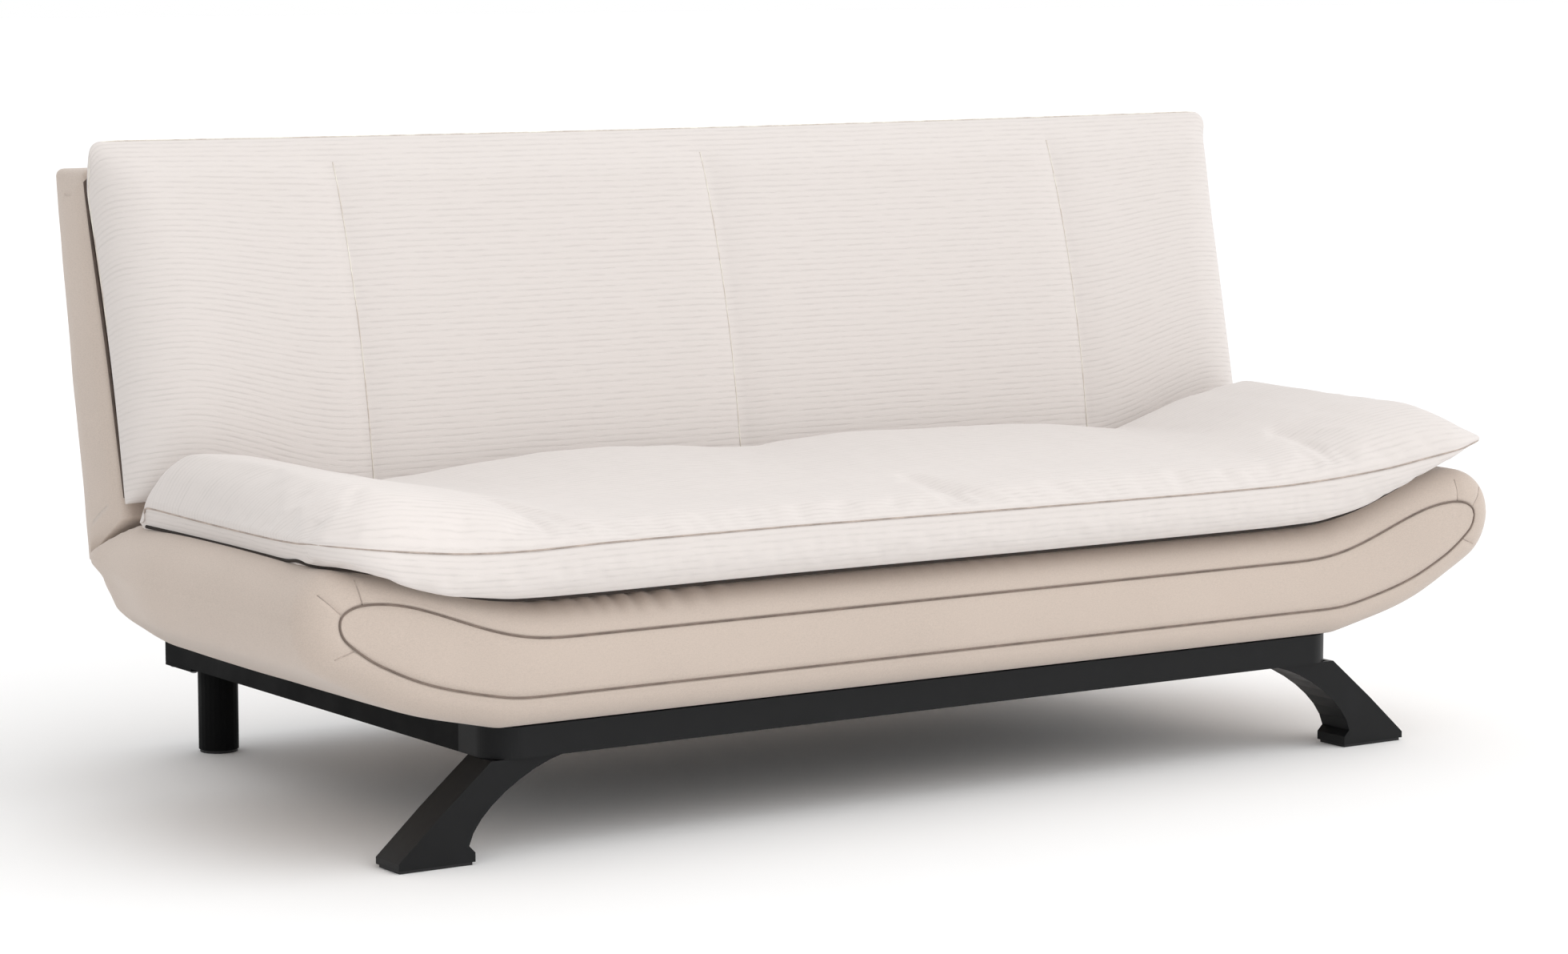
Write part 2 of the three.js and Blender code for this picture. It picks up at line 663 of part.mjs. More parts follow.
// Ratchet fitting: a seat plate with pawl and leaf spring, and the back's arm with its notched rim.
function fittings() {
  const inner = sideTimberOut + gap;
  const outer = inner + plateThick;
  const outline = plateShares.map(([y, z]) => new THREE.Vector2(pivotY + y * pawlAhead, pivotZ + z * rimRadius));
  const plate = without(prism(rounded(outline, plateRound), 'x', inner, outer),
    rod(pinRadius + gap, 'x', inner - cut, outer + cut, pivotY, pivotZ),
    rod(pawlPinRadius + gap, 'x', inner - cut, outer + cut, pawlY, pawlZ),
    ...screwShares.flatMap(share => screwHighShares.map(up =>
      rod(screwHole, 'x', inner - cut, outer + cut, pivotY + share * pawlAhead, pivotZ + up * rimRadius, 12))));
  pair(base, 'fitting_plate', plate, steelZinc);

  const headFrom = armOut + gap;
  const pin = (radius, head, y, z) => joined(
    rod(radius, 'x', inner + gap, headFrom + gap, y, z, 16), rod(head, 'x', headFrom, headFrom + pinHeadThick, y, z, 16));
  pair(base, 'pivot_pin', pin(pinRadius, pinHead, pivotY, pivotZ), steelZinc);
  pair(base, 'pawl_pin', pin(pawlPinRadius, pawlPinRadius + pinHeadThick, pawlY, pawlZ), steelZinc);

  const tip = rimRadius + pawlClear;
  const hook = [
    [-pawlAhead - pawlBeak, pawlAbove], [-pawlAhead - pawlBeak * 1.4, -pawlBeak * 0.8],
    [-tip, -pawlBeak / 2], [-tip, pawlBeak / 2], [-tip - pawlBeak * 1.1, pawlBeak * 1.2],
    [-pawlAhead + pawlBeak * 0.8, pawlAbove],
  ].map(([y, z]) => new THREE.Vector2(pivotY + y, pivotZ + z));
  const pawl = without(joined(prism(hook, 'x', armIn, armOut), rod(pawlEye, 'x', armIn, armOut, pawlY, pawlZ)),
    rod(tip, 'x', armIn - cut, armOut + cut, pivotY, pivotZ, 96),
    rod(pawlPinRadius + gap, 'x', armIn - cut, armOut + cut, pawlY, pawlZ));
  pair(base, 'pawl', pawl, steelZinc);

  const bend = new THREE.QuadraticBezierCurve(
    new THREE.Vector2(pivotY - pawlAhead * 1.7, pawlZ), new THREE.Vector2(pivotY - pawlAhead * 1.25, pawlZ),
    new THREE.Vector2(pivotY - pawlAhead - pawlBeak * 1.4 - gap * 2, pivotZ + pawlBeak * 2)).getPoints(6);
  const leaf = bend.map(p => new THREE.Vector2(p.x - pawlSpringThick, p.y - pawlSpringThick)).reverse();
  pair(base, 'pawl_spring', prism([...bend, ...leaf], 'x', outer + gap, armOut), steelZinc);

  const notch = turn => {
    const wide = notchWide / 2;
    const floor = wide - notchDeep / 5;
    const deep = rimRadius - notchDeep;
    const points = [[deep, -floor], [rimRadius + cut, -wide], [rimRadius + cut, wide], [deep, floor]];
    return prism(points.map(([r, side]) => new THREE.Vector2(r, side)
      .rotateAround(new THREE.Vector2(), Math.PI + lean + turn)
      .add(new THREE.Vector2(pivotDeep, -pivotBelow))), 'x', armIn - cut, armOut + cut);
  };
  const turns = [-release, -release / 2, ...Array.from({ length: notchCount }, (_, i) => i * notchStep)];
  const end = backTimberFrom + backTimberDeep / 2;
  const half = armWide / 2;
  const strap = rounded([[pivotDeep + half, -pivotBelow], [end + half, armReach], [end - half, armReach],
    [pivotDeep - half, -pivotBelow]].map(([t, s]) => new THREE.Vector2(t, s)), half / 2);
  const arm = without(
    joined(rod(rimRadius, 'x', armIn, armOut, pivotDeep, -pivotBelow, 48), prism(strap, 'x', armIn, armOut)),
    rod(pinRadius + gap, 'x', armIn - cut, armOut + cut, pivotDeep, -pivotBelow), ...turns.map(notch));
  pair(back, 'back_arm', arm, steelZinc);
}

// Timber frame of the back, in the back's own frame.
const postLow = backClear + riseHigh + timber / 2;
const railLow = backHigh - backTimberEdge - backRailHigh;

function backTimbers() {
  const [near, far] = [backTimberFrom, backTimberFrom + backTimberDeep];
  const low = postLow;
  const out = armIn - gap;
  const side = out - timber;
  const end = backHalf - backTimberEdge;
  const half = timber / 2;
  part(back, 'back_top_rail', block(-end, end, near, far, railLow, railLow + backRailHigh), woodPine());
  const lowRail = block(-side + gap, side - gap, near, far, low, low + backTimberHigh);
  part(back, 'back_bottom_rail', lowRail, woodPine());
  pair(back, 'back_hinge_post', block(side, out, near, far, low, railLow - gap), woodPine);
  const post = block(-half, half, near, far, low + backTimberHigh + gap, railLow - gap);
  part(back, 'back_middle_post', post, woodPine());
  pair(back, 'back_end_post', block(end - timber, end, near, far, low, railLow - gap), woodPine);
  pair(back, 'back_end_rail', block(armOut + fittingPlay, end - timber - gap, near, far, low, low + backTimberHigh), woodPine);
  const up = new THREE.Vector3(0, 1, 0);
  backSpringShares.forEach((share, i) => {
    const lie = near - gap - springWire;
    const spring = waveSpring(low + backTimberHigh / 2, railLow + backRailHigh / 2, up,
      (along, swing, bow) => new THREE.Vector3(side * share + swing, lie - bow, along));
    part(back, `back_spring_${i + 1}`, spring, steelZinc());
  });
}

function backSoft() {
  const end = backHalf - backTimberEdge + gap;
  const room = block(-end, end, backTimberFrom - springRoom, backFootDeep + cut, postLow - gap, railLow + backRailHigh + gap);
  const half = armWide / 2 + swingGap;
  const armRoom = block(sideTimberOut, armOut + fittingPlay, backTimberFrom + backTimberDeep / 2 - half,
    pivotDeep + half, -cut, armReach + pocketRoom);
  const foot = block(armIn - fittingPlay, armOut + fittingPlay, pivotDeep - half - pocketRoom,
    pivotDeep + half, -cut, postLow - timber);
  const both = shape => [shape, solid(mirrored(skinned(shape)))];
  part(back, 'back_foam', without(backBody(coverThick + gap), room, ...both(armRoom)), foamWhite());
  part(back, 'back_cover', without(backBody(0), backBody(coverThick), ...both(foot)), fabricBeige());
}

// Places across a topper: its rounded ends, the climb of the seat and both flanks of each tufted seam.
function padStations(half) {
  const ends = padEdgeShares.map(share => half - padEdgeWide * (1 - share));
  const places = stations(half).slice(1, -1).filter(x => Math.abs(x) < half - padEdgeWide - padTuft);
  const tufts = [-tuftPlace, 0, tuftPlace].flatMap(x => tuftShares.map(share => x + share * tuftReach));
  const nose = noseTop().map(p => p.x).filter(x => x < half);
  const all = [...nose, ...nose.map(x => -x), ...ends, ...ends.map(x => -x), ...places, ...tufts];
  all.sort((a, b) => a - b);
  return all.filter((x, i) => i === 0 || x - all[i - 1] > coverThick);
}

// Roundness of a topper towards its ends, from 1 in the field to almost nothing at the edge seam.
function fullness(x, half) {
  const share = Math.max(0, (Math.abs(x) - (half - padEdgeWide)) / padEdgeWide);
  return Math.max(padTipShare, Math.sqrt(Math.max(0, 1 - share ** 2)));
}

// How deep the tufted seams draw the surface in at x.
function tuft(x) {
  const near = Math.min(...[-tuftPlace, 0, tuftPlace].map(place => Math.abs(x - place)));
  return padTuft * Math.exp(-((near / (tuftReach / 2)) ** 2));
}

function seatPad() {
  const half = seatWide / 2 - seatPadInset;
  const deep = seatPadRear + seatPadOverhang;
  const rings = padStations(half).map(x => {
    const full = fullness(x, half);
    const low = topAt(x) + gap;
    const level = seatTop + rise(x) + gap;
    const seam = level + seatPadTipSeam + (seatPadSeam - seatPadTipSeam) * full;
    const high = seam + (level + seatPadThick - seam) * full;
    return seatPadShares.map(([along, up]) => {
      const front = Math.max(0, 1 - along / seatTuftReachShare);
      const sink = typeof up === 'number' && up > 0.8 ? tuft(x) * front * full : 0;
      const z = up === 'seam' ? seam : low + (high - low) * up - sink;
      return new THREE.Vector3(x, -seatPadOverhang + deep * along, z);
    });
  });
  part(base, 'seat_topper', loft(rings), fabricCream());
}

function backPad() {
  const half = seatWide / 2 - backPadInset;
  const rings = padStations(half).map(x => {
    const full = fullness(x, half);
    const low = backPadStart + rise(x);
    return backPadShares.map(([out, up]) => {
      const sink = out > 0.5 && up < 0.95 ? tuft(x) * full : 0;
      const ear = THREE.MathUtils.smoothstep(up, backPadCornerShare, 1);
      const seam = backPadEndSeam + (backPadTopSeam - backPadEndSeam) * ear;
      const t = -gap - seam - (out * backPadThick - seam) * full + sink;
      return new THREE.Vector3(x, t, low + (backPadHigh - low) * up);
    });
  });
  part(back, 'back_topper', loft(rings), fabricCream());
}

frame();
frontLegs();
rearLegs();
seatTimbers();
seatSoft();
rearDeck();
fittings();
backTimbers();
backSoft();
seatPad();
backPad();

export default root;
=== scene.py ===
import math

import bmesh
import bpy
import numpy as np
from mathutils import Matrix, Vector


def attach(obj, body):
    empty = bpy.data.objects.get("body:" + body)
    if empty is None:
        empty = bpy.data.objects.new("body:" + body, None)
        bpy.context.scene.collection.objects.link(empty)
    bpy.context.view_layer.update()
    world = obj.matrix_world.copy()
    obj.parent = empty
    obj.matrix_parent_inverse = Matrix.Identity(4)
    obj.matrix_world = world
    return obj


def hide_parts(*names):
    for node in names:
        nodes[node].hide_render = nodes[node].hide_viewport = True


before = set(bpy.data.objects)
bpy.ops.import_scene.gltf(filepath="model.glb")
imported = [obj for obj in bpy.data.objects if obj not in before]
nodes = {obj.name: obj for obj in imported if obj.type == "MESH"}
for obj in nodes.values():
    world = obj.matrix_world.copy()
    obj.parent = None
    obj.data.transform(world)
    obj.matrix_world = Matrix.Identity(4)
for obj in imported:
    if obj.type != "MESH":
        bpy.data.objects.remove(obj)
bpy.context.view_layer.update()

scene = bpy.context.scene

# Sizes in metres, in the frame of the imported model.
BACK_SHIFT = -0.4415
LEAN, RELEASE = math.radians(13.5), math.radians(5)
PIVOT = (0.156835, 0.2445)
PIVOT_DEEP, PIVOT_BELOW = 0.0858, 0.06764

# Seat: the boat shaped body, the front edge's and the stern's rounding, and the swells of its cover
SEAT_FLOOR, SEAT_TOP = 0.1723, 0.3303
SEAT_FRONT = -0.032 + BACK_SHIFT
SEAT_REAR = PIVOT[0] + 0.06964 + 0.004
HALF, NOSE_R = 0.98, 0.062
RISE, RISE_FROM, RISE_TO = 0.066, 0.63, 0.89
KEEL_FROM = 0.704
EDGE_R, STERN_R = 0.045, 0.06
KEEL_SWELL, NOSE_OUT = 0.012, 0.007
# the two ends of each tuck at a nose, outward and up from the nose's middle
TUCKS = (((0.019, 0.01), (0.043, 0.034)),
         ((-0.012, 0.019), (-0.007, 0.049)),
         ((0.001, -0.038), (0.025, -0.047)))

# Back: the shell's foot, head, length and height, and the rounding of its ends
BACK_Y = 0.5307 + BACK_SHIFT
FOOT_DEEP, HEAD_DEEP = 0.137, 0.098
BACK_HALF, BACK_HIGH, BACK_SOFT = 0.95, 0.545, 0.012
# where the shell's rear rests on the rubber pads in the flat place: across and up
PRESSED = (0.42, 0.241)

# Toppers: half lengths, tops and the sewn lines across them
PAD_HALF, PAD_CORNER = 0.955, 0.085
REST_HALF, REST_CORNER, REST_TOP = 0.958, 0.02, 0.5765
SEAT_TUFTS = (-0.642, 0.013, 0.66)
BACK_TUFTS = (-0.61, 0.0, 0.628)

SKY, SKY_LEFT, SUN = 1.0, 0.72, 1.0


def smooth(a, b, x):
    t = np.clip((np.asarray(x, float) - a) / (b - a), 0, 1)
    return t * t * (3 - 2 * t)


def rise(x):
    return RISE * smooth(RISE_FROM, RISE_TO, np.abs(x))


def waves(points, size, seed):
    """Soft repeatable unevenness from -1 to 1, from a few crossing sine waves."""
    r = np.random.default_rng(seed)
    total = np.zeros(points.shape[:-1])
    weight = 0
    for o in range(3):
        for _ in range(5):
            way = r.normal(size=3)
            way /= np.linalg.norm(way)
            k = way * 2 * math.pi / (size * r.uniform(0.7, 1.5)) * 1.9 ** o
            total += np.sin(points @ k + r.uniform(0, 6.28)) / 1.7 ** o
            weight += 0.5 / 1.7 ** o
    return np.clip(total / weight / 2, -1, 1)


# Meshes


def new_object(name, data):
    obj = bpy.data.objects.new(name, data)
    scene.collection.objects.link(obj)
    return obj


def add_mesh(name, verts, faces, uvs=None, shade=True):
    mesh = bpy.data.meshes.new(name)
    mesh.from_pydata([tuple(v) for v in verts], [], [tuple(f) for f in faces])
    mesh.validate()
    if uvs is not None:
        layer = mesh.uv_layers.new(name="UVMap")
        vi = np.empty(len(mesh.loops), int)
        mesh.loops.foreach_get("vertex_index", vi)
        layer.data.foreach_set("uv", np.asarray(uvs, np.float32)[vi].ravel())
    mesh.polygons.foreach_set("use_smooth", [shade] * len(mesh.polygons))
    return new_object(name, mesh)


def bands(a, b):
    """Quads between closed rings of point numbers in a and the rings next to them in b."""
    return np.stack([a, np.roll(a, -1, 1), np.roll(b, -1, 1), b], -1).reshape(-1, 4).tolist()


def grid_quads(at):
    """Quads of an open grid of point numbers."""
    return np.stack([at[:-1, :-1], at[:-1, 1:], at[1:, 1:], at[1:, :-1]], -1).reshape(-1, 4).tolist()


def sleeve(name, rings):
    """A closed body from rings of equal, even length, with a ladder of quads over each end."""
    count, n, _ = rings.shape
    idx = np.arange(count * n).reshape(count, n)
    quads = bands(idx[:-1], idx[1:])
    for ring, flip in ((idx[0], True), (idx[-1], False)):
        for i in range(n // 2 - 1):
            face = [ring[i], ring[i + 1], ring[n - 2 - i], ring[n - 1 - i]]
            quads.append(face[::-1] if flip else face)
    obj = add_mesh(name, rings.reshape(-1, 3), quads)
    turn_out(obj)
    return obj


def turn_out(obj):
    """Makes a closed mesh's faces point out."""
    mesh = obj.data
    co = coords(obj)
    tri = np.array([[face.vertices[0], face.vertices[i], face.vertices[i + 1]]
                    for face in mesh.polygons for i in (1, len(face.vertices) - 2)])
    volume = np.einsum("ij,ij->", co[tri[:, 0]], np.cross(co[tri[:, 1]], co[tri[:, 2]]))
    if volume < 0:
        mesh.flip_normals()


def coords(obj):
    co = np.empty(len(obj.data.vertices) * 3)
    obj.data.vertices.foreach_get("co", co)
    return co.reshape(-1, 3)


def put(obj, co):
    obj.data.vertices.foreach_set("co", np.asarray(co, float).ravel())
    obj.data.update()


def run_length(points):
    step = np.linalg.norm(np.diff(points, axis=0), axis=1)
    return np.concatenate([[0], np.cumsum(step)])


def resample(points, count, closed=False):
    pts = np.vstack([points, points[:1]]) if closed else np.asarray(points, float)
    at = run_length(pts)
    want = np.linspace(0, at[-1], count + 1)[:-1] if closed else np.linspace(0, at[-1], count)
    return np.stack([np.interp(want, at, pts[:, k]) for k in range(pts.shape[1])], -1)


def cord_mesh(name, path, radius, sides=6, closed=False):
    """A round cord along a path, as mesh."""
    ahead = np.roll(path, -1, 0) - np.roll(path, 1, 0)
    if not closed:
        ahead[0], ahead[-1] = path[1] - path[0], path[-1] - path[-2]
    ahead /= np.linalg.norm(ahead, axis=1)[:, None]
    up = np.array([0.0, 0.0, 1.0]) if abs(ahead[0][2]) < 0.9 else np.array([1.0, 0.0, 0.0])
    rings = []
    for p, d in zip(path, ahead):
        side = np.cross(d, up)
        side /= np.linalg.norm(side)
        up = np.cross(side, d)
        a = np.arange(sides) / sides * 2 * math.pi
        rings.append(p + radius * (np.cos(a)[:, None] * side + np.sin(a)[:, None] * up))
    rings = np.array(rings)
    if not closed:
        return sleeve(name, rings)
    idx = np.arange(len(path) * sides).reshape(-1, sides)
    obj = add_mesh(name, rings.reshape(-1, 3), bands(idx, np.roll(idx, -1, 0)))
    turn_out(obj)
    return obj


def modified(obj, kind, **settings):
    """Adds one modifier to a piece and applies it."""
    m = obj.modifiers.new(kind, kind)
    for key, value in settings.items():
        setattr(m, key, value)
    bpy.context.view_layer.update()
    made = bpy.data.meshes.new_from_object(obj.evaluated_get(bpy.context.evaluated_depsgraph_get()))
    old = obj.data
    obj.modifiers.clear()
    obj.data = made
    bpy.data.meshes.remove(old)


# Materials


class Nodes:
    def __init__(self, name, color, rough, metal=0.0, sheen=0.0, specular=0.5):
        self.m = bpy.data.materials.new(name)
        self.m.use_nodes = True
        self.t = self.m.node_tree
        self.bsdf = self.t.nodes["Principled BSDF"]
        s = self.bsdf.inputs
        s["Base Color"].default_value = (*color, 1)
        s["Roughness"].default_value = rough
        s["Metallic"].default_value = metal
        s["Specular IOR Level"].default_value = specular
        if sheen:
            s["Sheen Weight"].default_value = sheen
            s["Sheen Roughness"].default_value = 0.5
        self.m.diffuse_color = (*color, 1)
        self.color = color

    def new(self, kind, inputs=None, **props):
        n = self.t.nodes.new("ShaderNode" + kind)
        for k, v in props.items():
            setattr(n, k, v)
        for k, v in (inputs or {}).items():
            if isinstance(v, bpy.types.NodeSocket):
                self.t.links.new(v, n.inputs[k])
            else:
                n.inputs[k].default_value = v
        return n

    def math(self, op, a, b=0.0, c=0.0):
        return self.new("Math", {0: a, 1: b, 2: c}, operation=op).outputs[0]

    def add(self, a, b):
        return self.math("ADD", a, b)

    def times(self, a, b):
        return self.math("MULTIPLY", a, b)

    def blend(self, a, part, b, other):
        """The sum of two values, each times its own share."""
        return self.add(self.times(a, part), self.times(b, other))

    def place(self, kind="Object"):
        return self.new("TexCoord").outputs[kind]

    def scaled(self, vector, scale):
        return self.new("Mapping", {"Vector": vector, "Scale": scale}).outputs[0]

    def axis(self, vector, which):
        return self.new("SeparateXYZ", {0: vector}).outputs[which]

    def noise(self, vector, scale, detail=2.0, rough=0.5):
        inputs = {"Vector": vector, "Scale": scale, "Detail": detail, "Roughness": rough}
        return self.new("TexNoise", inputs).outputs["Fac"]

    def ramp(self, fac, *stops):
        """The colour, darker and lighter over fac; each stop is a place and a factor."""
        n = self.new("ValToRGB", {"Fac": fac})
        e = n.color_ramp.elements
        while len(e) < len(stops):
            e.new(0.5)
        for el, (pos, factor) in zip(e, stops):
            el.position = pos
            el.color = (*(min(1.0, c * factor) for c in self.color), 1)
        return n.outputs["Color"]

    def span(self, value, a, b, c=0.0, d=1.0):
        limits = {"Value": value, "From Min": a, "From Max": b, "To Min": c, "To Max": d}
        return self.new("MapRange", limits).outputs[0]

    def to(self, socket, value):
        self.t.links.new(value, self.bsdf.inputs[socket])

    def bump(self, height, strength, distance):
        inputs = {"Height": height, "Strength": strength, "Distance": distance}
        self.to("Normal", self.new("Bump", inputs).outputs["Normal"])


def ribbed(name, color, strength, painted_shading=None):
    """Fine slub ribs along the width, every 8.5 mm of the cloth's own length in v; if asked, painted shade
    towards the rear and painted light at the left end.
    """
    n = Nodes(name, color, 0.93, sheen=0.25, specular=0.2)
    uv = n.place("UV")
    sway = n.noise(n.scaled(uv, (9, 26, 1)), 1.0, 2)
    line = n.blend(n.axis(uv, 1), 2 * math.pi / 0.0085, sway, 3.2)
    rib = n.math("MULTIPLY_ADD", n.math("SINE", line), 0.5, 0.5)
    dash = n.noise(n.scaled(uv, (26, 210, 1)), 1.0, 4, 0.65)
    gate = n.span(dash, 0.4, 0.6)
    groove = n.math("POWER", n.math("SUBTRACT", 1.0, rib), 2.2)
    depth_share = n.times(groove, n.math("MULTIPLY_ADD", gate, 0.85, 0.15))
    body = n.math("SUBTRACT", 1.0, depth_share)
    thread = n.noise(n.scaled(uv, (520, 1500, 1)), 1.0, 2, 0.6)
    broad = n.noise(n.place(), 3.2, 3)
    tone = n.blend(body, 0.62, thread, 0.38)
    mixed = n.blend(tone, 0.86, broad, 0.14)
    shade = n.ramp(mixed, (0.1, 0.9), (0.45, 0.98), (0.8, 1.03))
    # painted shade: a little lighter in front and darker towards the rear; painted light: lighter at the
    # left end
    if painted_shading:
        at = n.place()
        share = n.times(n.span(n.axis(at, 1), painted_shading[0], painted_shading[1], 1.02, 0.96),
                        n.span(n.axis(at, 0), -0.8, -0.62, 1.05, 1.0))
        shade = n.new("VectorMath", {0: shade, "Scale": share}, operation="SCALE").outputs[0]
    n.to("Base Color", shade)
    height = n.add(body, n.times(thread, 0.3))
    n.bump(height, strength, 0.0009)
    n.to("Roughness", n.span(thread, 0.2, 0.8, 0.86, 0.98))
    return n.m


def woven(name, color):
    """A plain weave of mixed yarn, one thread each 1.6 mm."""
    n = Nodes(name, color, 0.9, sheen=0.3, specular=0.22)
    at = n.place()
    k = 2 * math.pi / 0.0016
    sway = n.times(n.noise(at, 45, 2), 5.0)
    warp = n.math("SINE", n.add(n.times(n.axis(at, 0), k), sway))
    yz = n.add(n.axis(at, 1), n.axis(at, 2))
    weft = n.math("SINE", n.add(n.times(yz, k), sway))
    grid = n.math("MULTIPLY_ADD", n.times(warp, weft), 0.5, 0.5)
    slub = n.noise(n.scaled(at, (260, 900, 900)), 1.0, 3, 0.65)
    grain = n.noise(n.scaled(at, (900, 260, 700)), 1.0, 2, 0.6)
    broad = n.noise(at, 2.6, 3)
    yarn = n.times(n.add(slub, grain), 0.36)
    tone = n.add(yarn, n.times(broad, 0.28))
    n.to("Base Color", n.ramp(tone, (0.28, 0.82), (0.5, 1), (0.72, 1.12)))
    height = n.blend(grid, 0.5, slub, 0.6)
    n.bump(height, 0.5, 0.00035)
    n.to("Roughness", n.span(slub, 0.25, 0.75, 0.84, 0.97))
    return n.m


def coated(name, color, rough=0.42, specular=0.2, ends=None):
    """Satin powder coat: a fine orange peel, lighter in broad patches, and less specular at the ends if
    asked, as painted shade.
    """
    n = Nodes(name, color, rough, specular=specular)
    # painted shade: less specular towards the ends, where the rail turns to the shaded sides
    if ends:
        x = n.math("ABSOLUTE", n.axis(n.place(), 0))
        n.to("Specular IOR Level", n.span(x, 0.66, 0.74, specular, ends))
    at = n.place()
    peel = n.noise(at, 900, 2, 0.5)
    dust = n.noise(at, 14, 4, 0.6)
    n.to("Base Color", n.ramp(dust, (0.3, 0.8), (0.55, 1), (0.8, 1.5)))
    n.to("Roughness", n.span(dust, 0.3, 0.75, rough - 0.06, rough + 0.12))
    n.bump(peel, 0.16, 0.0004)
    return n.m


def zinc(name):
    n = Nodes(name, (0.42, 0.43, 0.44), 0.38, metal=0.95)
    at = n.place()
    spangle = n.new("TexVoronoi", {"Vector": at, "Scale": 260.0}).outputs["Color"]
    grey = n.new("RGBToBW", {0: spangle}).outputs[0]
    stain = n.noise(at, 60, 4, 0.6)
    tone = n.math("MULTIPLY_ADD", grey, 0.35, n.times(stain, 0.65))
    n.to("Base Color", n.ramp(tone, (0.25, 0.72), (0.7, 1.12)))
    n.to("Roughness", n.span(stain, 0.3, 0.7, 0.3, 0.5))
    n.bump(stain, 0.12, 0.0004)
    return n.m


def pine(name, along):
    """Planed softwood; along is the axis that the grain runs in."""
    n = Nodes(name, (0.62, 0.41, 0.21), 0.62, specular=0.35)
    at = n.scaled(n.place(), [0.55 if axis == along else 7.0 for axis in "xyz"])
    warp = n.noise(at, 3.0, 3, 0.5)
    growth = {"Vector": at, "Scale": 5.5, "Distortion": 6.0, "Detail": 3.0, "Detail Scale": 1.4}
    rings = n.new("TexWave", growth, bands_direction="DIAGONAL").outputs["Fac"]
    pores = n.noise(n.scaled(n.place(), [30.0 if axis == along else 700.0 for axis in "xyz"]), 1.0, 2)
    tone = n.blend(rings, 0.55, warp, 0.45)
    n.to("Base Color", n.ramp(tone, (0.15, 0.72), (0.45, 1), (0.85, 1.3)))
    n.bump(n.add(pores, n.times(rings, 0.4)), 0.3, 0.0004)
    n.to("Roughness", n.span(pores, 0.3, 0.7, 0.55, 0.75))
    return n.m


def foamy(name):
    n = Nodes(name, (0.78, 0.72, 0.55), 0.97, specular=0.15)
    at = n.place()
    cells = n.new("TexVoronoi", {"Vector": at, "Scale": 520.0}).outputs["Distance"]
    broad = n.noise(at, 9, 3)
    n.to("Base Color", n.ramp(broad, (0.3, 0.88), (0.7, 1.06)))
    n.bump(cells, 0.5, 0.0009)
    return n.m


def moulded(name, color, rough=0.5, scale=420.0, strength=0.2):
    n = Nodes(name, color, rough, specular=0.4)
    at = n.place()
    grain = n.noise(at, scale, 3, 0.6)
    scuff = n.noise(at, 40, 4, 0.6)
    n.to("Base Color", n.ramp(scuff, (0.35, 1), (0.8, 1.9)))
    n.to("Roughness", n.span(scuff, 0.3, 0.8, rough - 0.05, rough + 0.18))
    n.bump(grain, strength, 0.0004)
    return n.m


def nonwoven(name):
    n = Nodes(name, (0.02, 0.02, 0.021), 0.92, specular=0.2)
    at = n.place()
    cells = {"Vector": at, "Scale": 620.0, "Randomness": 0.25}
    dots = n.new("TexVoronoi", cells).outputs["Distance"]
    fibre = n.noise(n.scaled(at, (700, 180, 400)), 1.0, 4, 0.7)
    n.to("Base Color", n.ramp(fibre, (0.3, 0.7), (0.75, 1.9)))
    n.bump(n.add(dots, fibre), 0.35, 0.0004)
    return n.m


CREAM = (0.68, 0.634, 0.607)
BLACK = (0.007, 0.0074, 0.008)
cream = ribbed("cream_rib", CREAM, 0.36)
# the seat topper's cream, with painted shade towards its rear and painted light at its left end
cream_seat_painted_shading = ribbed("cream_rib_seat_painted_shading", CREAM, 0.26, painted_shading=(-0.34, -0.16))
beige = woven("beige_weave", (0.565, 0.477, 0.413))
black = coated("black_coat", BLACK)
# the front rail's black coat, with painted shade at its ends
black_shaded_ends = coated("black_coat_shaded_ends", BLACK, ends=0.07)
# a darker, less specular copy of the black coat: painted shade on the side rails and rear legs
black_shaded = coated("black_coat_shaded", (0.004, 0.0042, 0.0045), 0.6, 0.07)
steel = zinc("zinc_plate")
wood = {a: pine("pine_" + a, a) for a in "xyz"}
foam = foamy("foam_cut")
plastic = moulded("black_plastic", (0.012, 0.012, 0.013))
rubber = moulded("black_rubber", (0.009, 0.009, 0.009), 0.8, 260, 0.3)
cloth = nonwoven("dust_cloth")
taupe = moulded("thread_taupe", (0.15, 0.115, 0.095), 0.75, 1500, 0.4)
pale = moulded("thread_pale", (0.6, 0.53, 0.47), 0.8, 1500, 0.4)
thread = moulded("thread_grey", (0.34, 0.285, 0.25), 0.8, 1500, 0.4)
# dark brown for the cord under the seat topper's lower edge: painted shadow under its overhang
shadow_cord = moulded("shadow_cord_dark", (0.022, 0.016, 0.013), 0.85, 1500, 0.4)
# dark brown for the cord in the groove between the back topper and the shell: painted shadow
shadow_umber = moulded("shadow_cord_umber", (0.075, 0.055, 0.045), 0.85, 1500, 0.4)


def dress(obj, material):
    obj.data.materials.clear()
    obj.data.materials.append(material)


def belong(obj, material, body):
    """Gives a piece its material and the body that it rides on."""
    dress(obj, material)
    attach(obj, body)


# the first row with a word that a node's name has gives that node's material
LOOKS = (
    # front rail: the black coat with painted shade at its ends
    (("frame_front_rail",), black_shaded_ends),
    # side rails and rear legs: the black coat with painted shade
    (("frame_side_rail", "rear_leg"), black_shaded),
    (("frame", "front_leg"), black),
    (("side_rail", "middle_rail"), wood["y"]),
    (("rail",), wood["x"]),
    (("post",), wood["z"]),
    (("spring", "fitting", "pin", "pawl", "arm"), steel),
    (("foam",), foam),
    (("glide",), plastic),
    (("rest",), rubber),
    (("dust",), cloth),
    (("topper",), cream),
    (("",), beige),
)
for name, obj in nodes.items():
    dress(obj, next(look for words, look in LOOKS if any(word in name for word in words)))


# Cloth


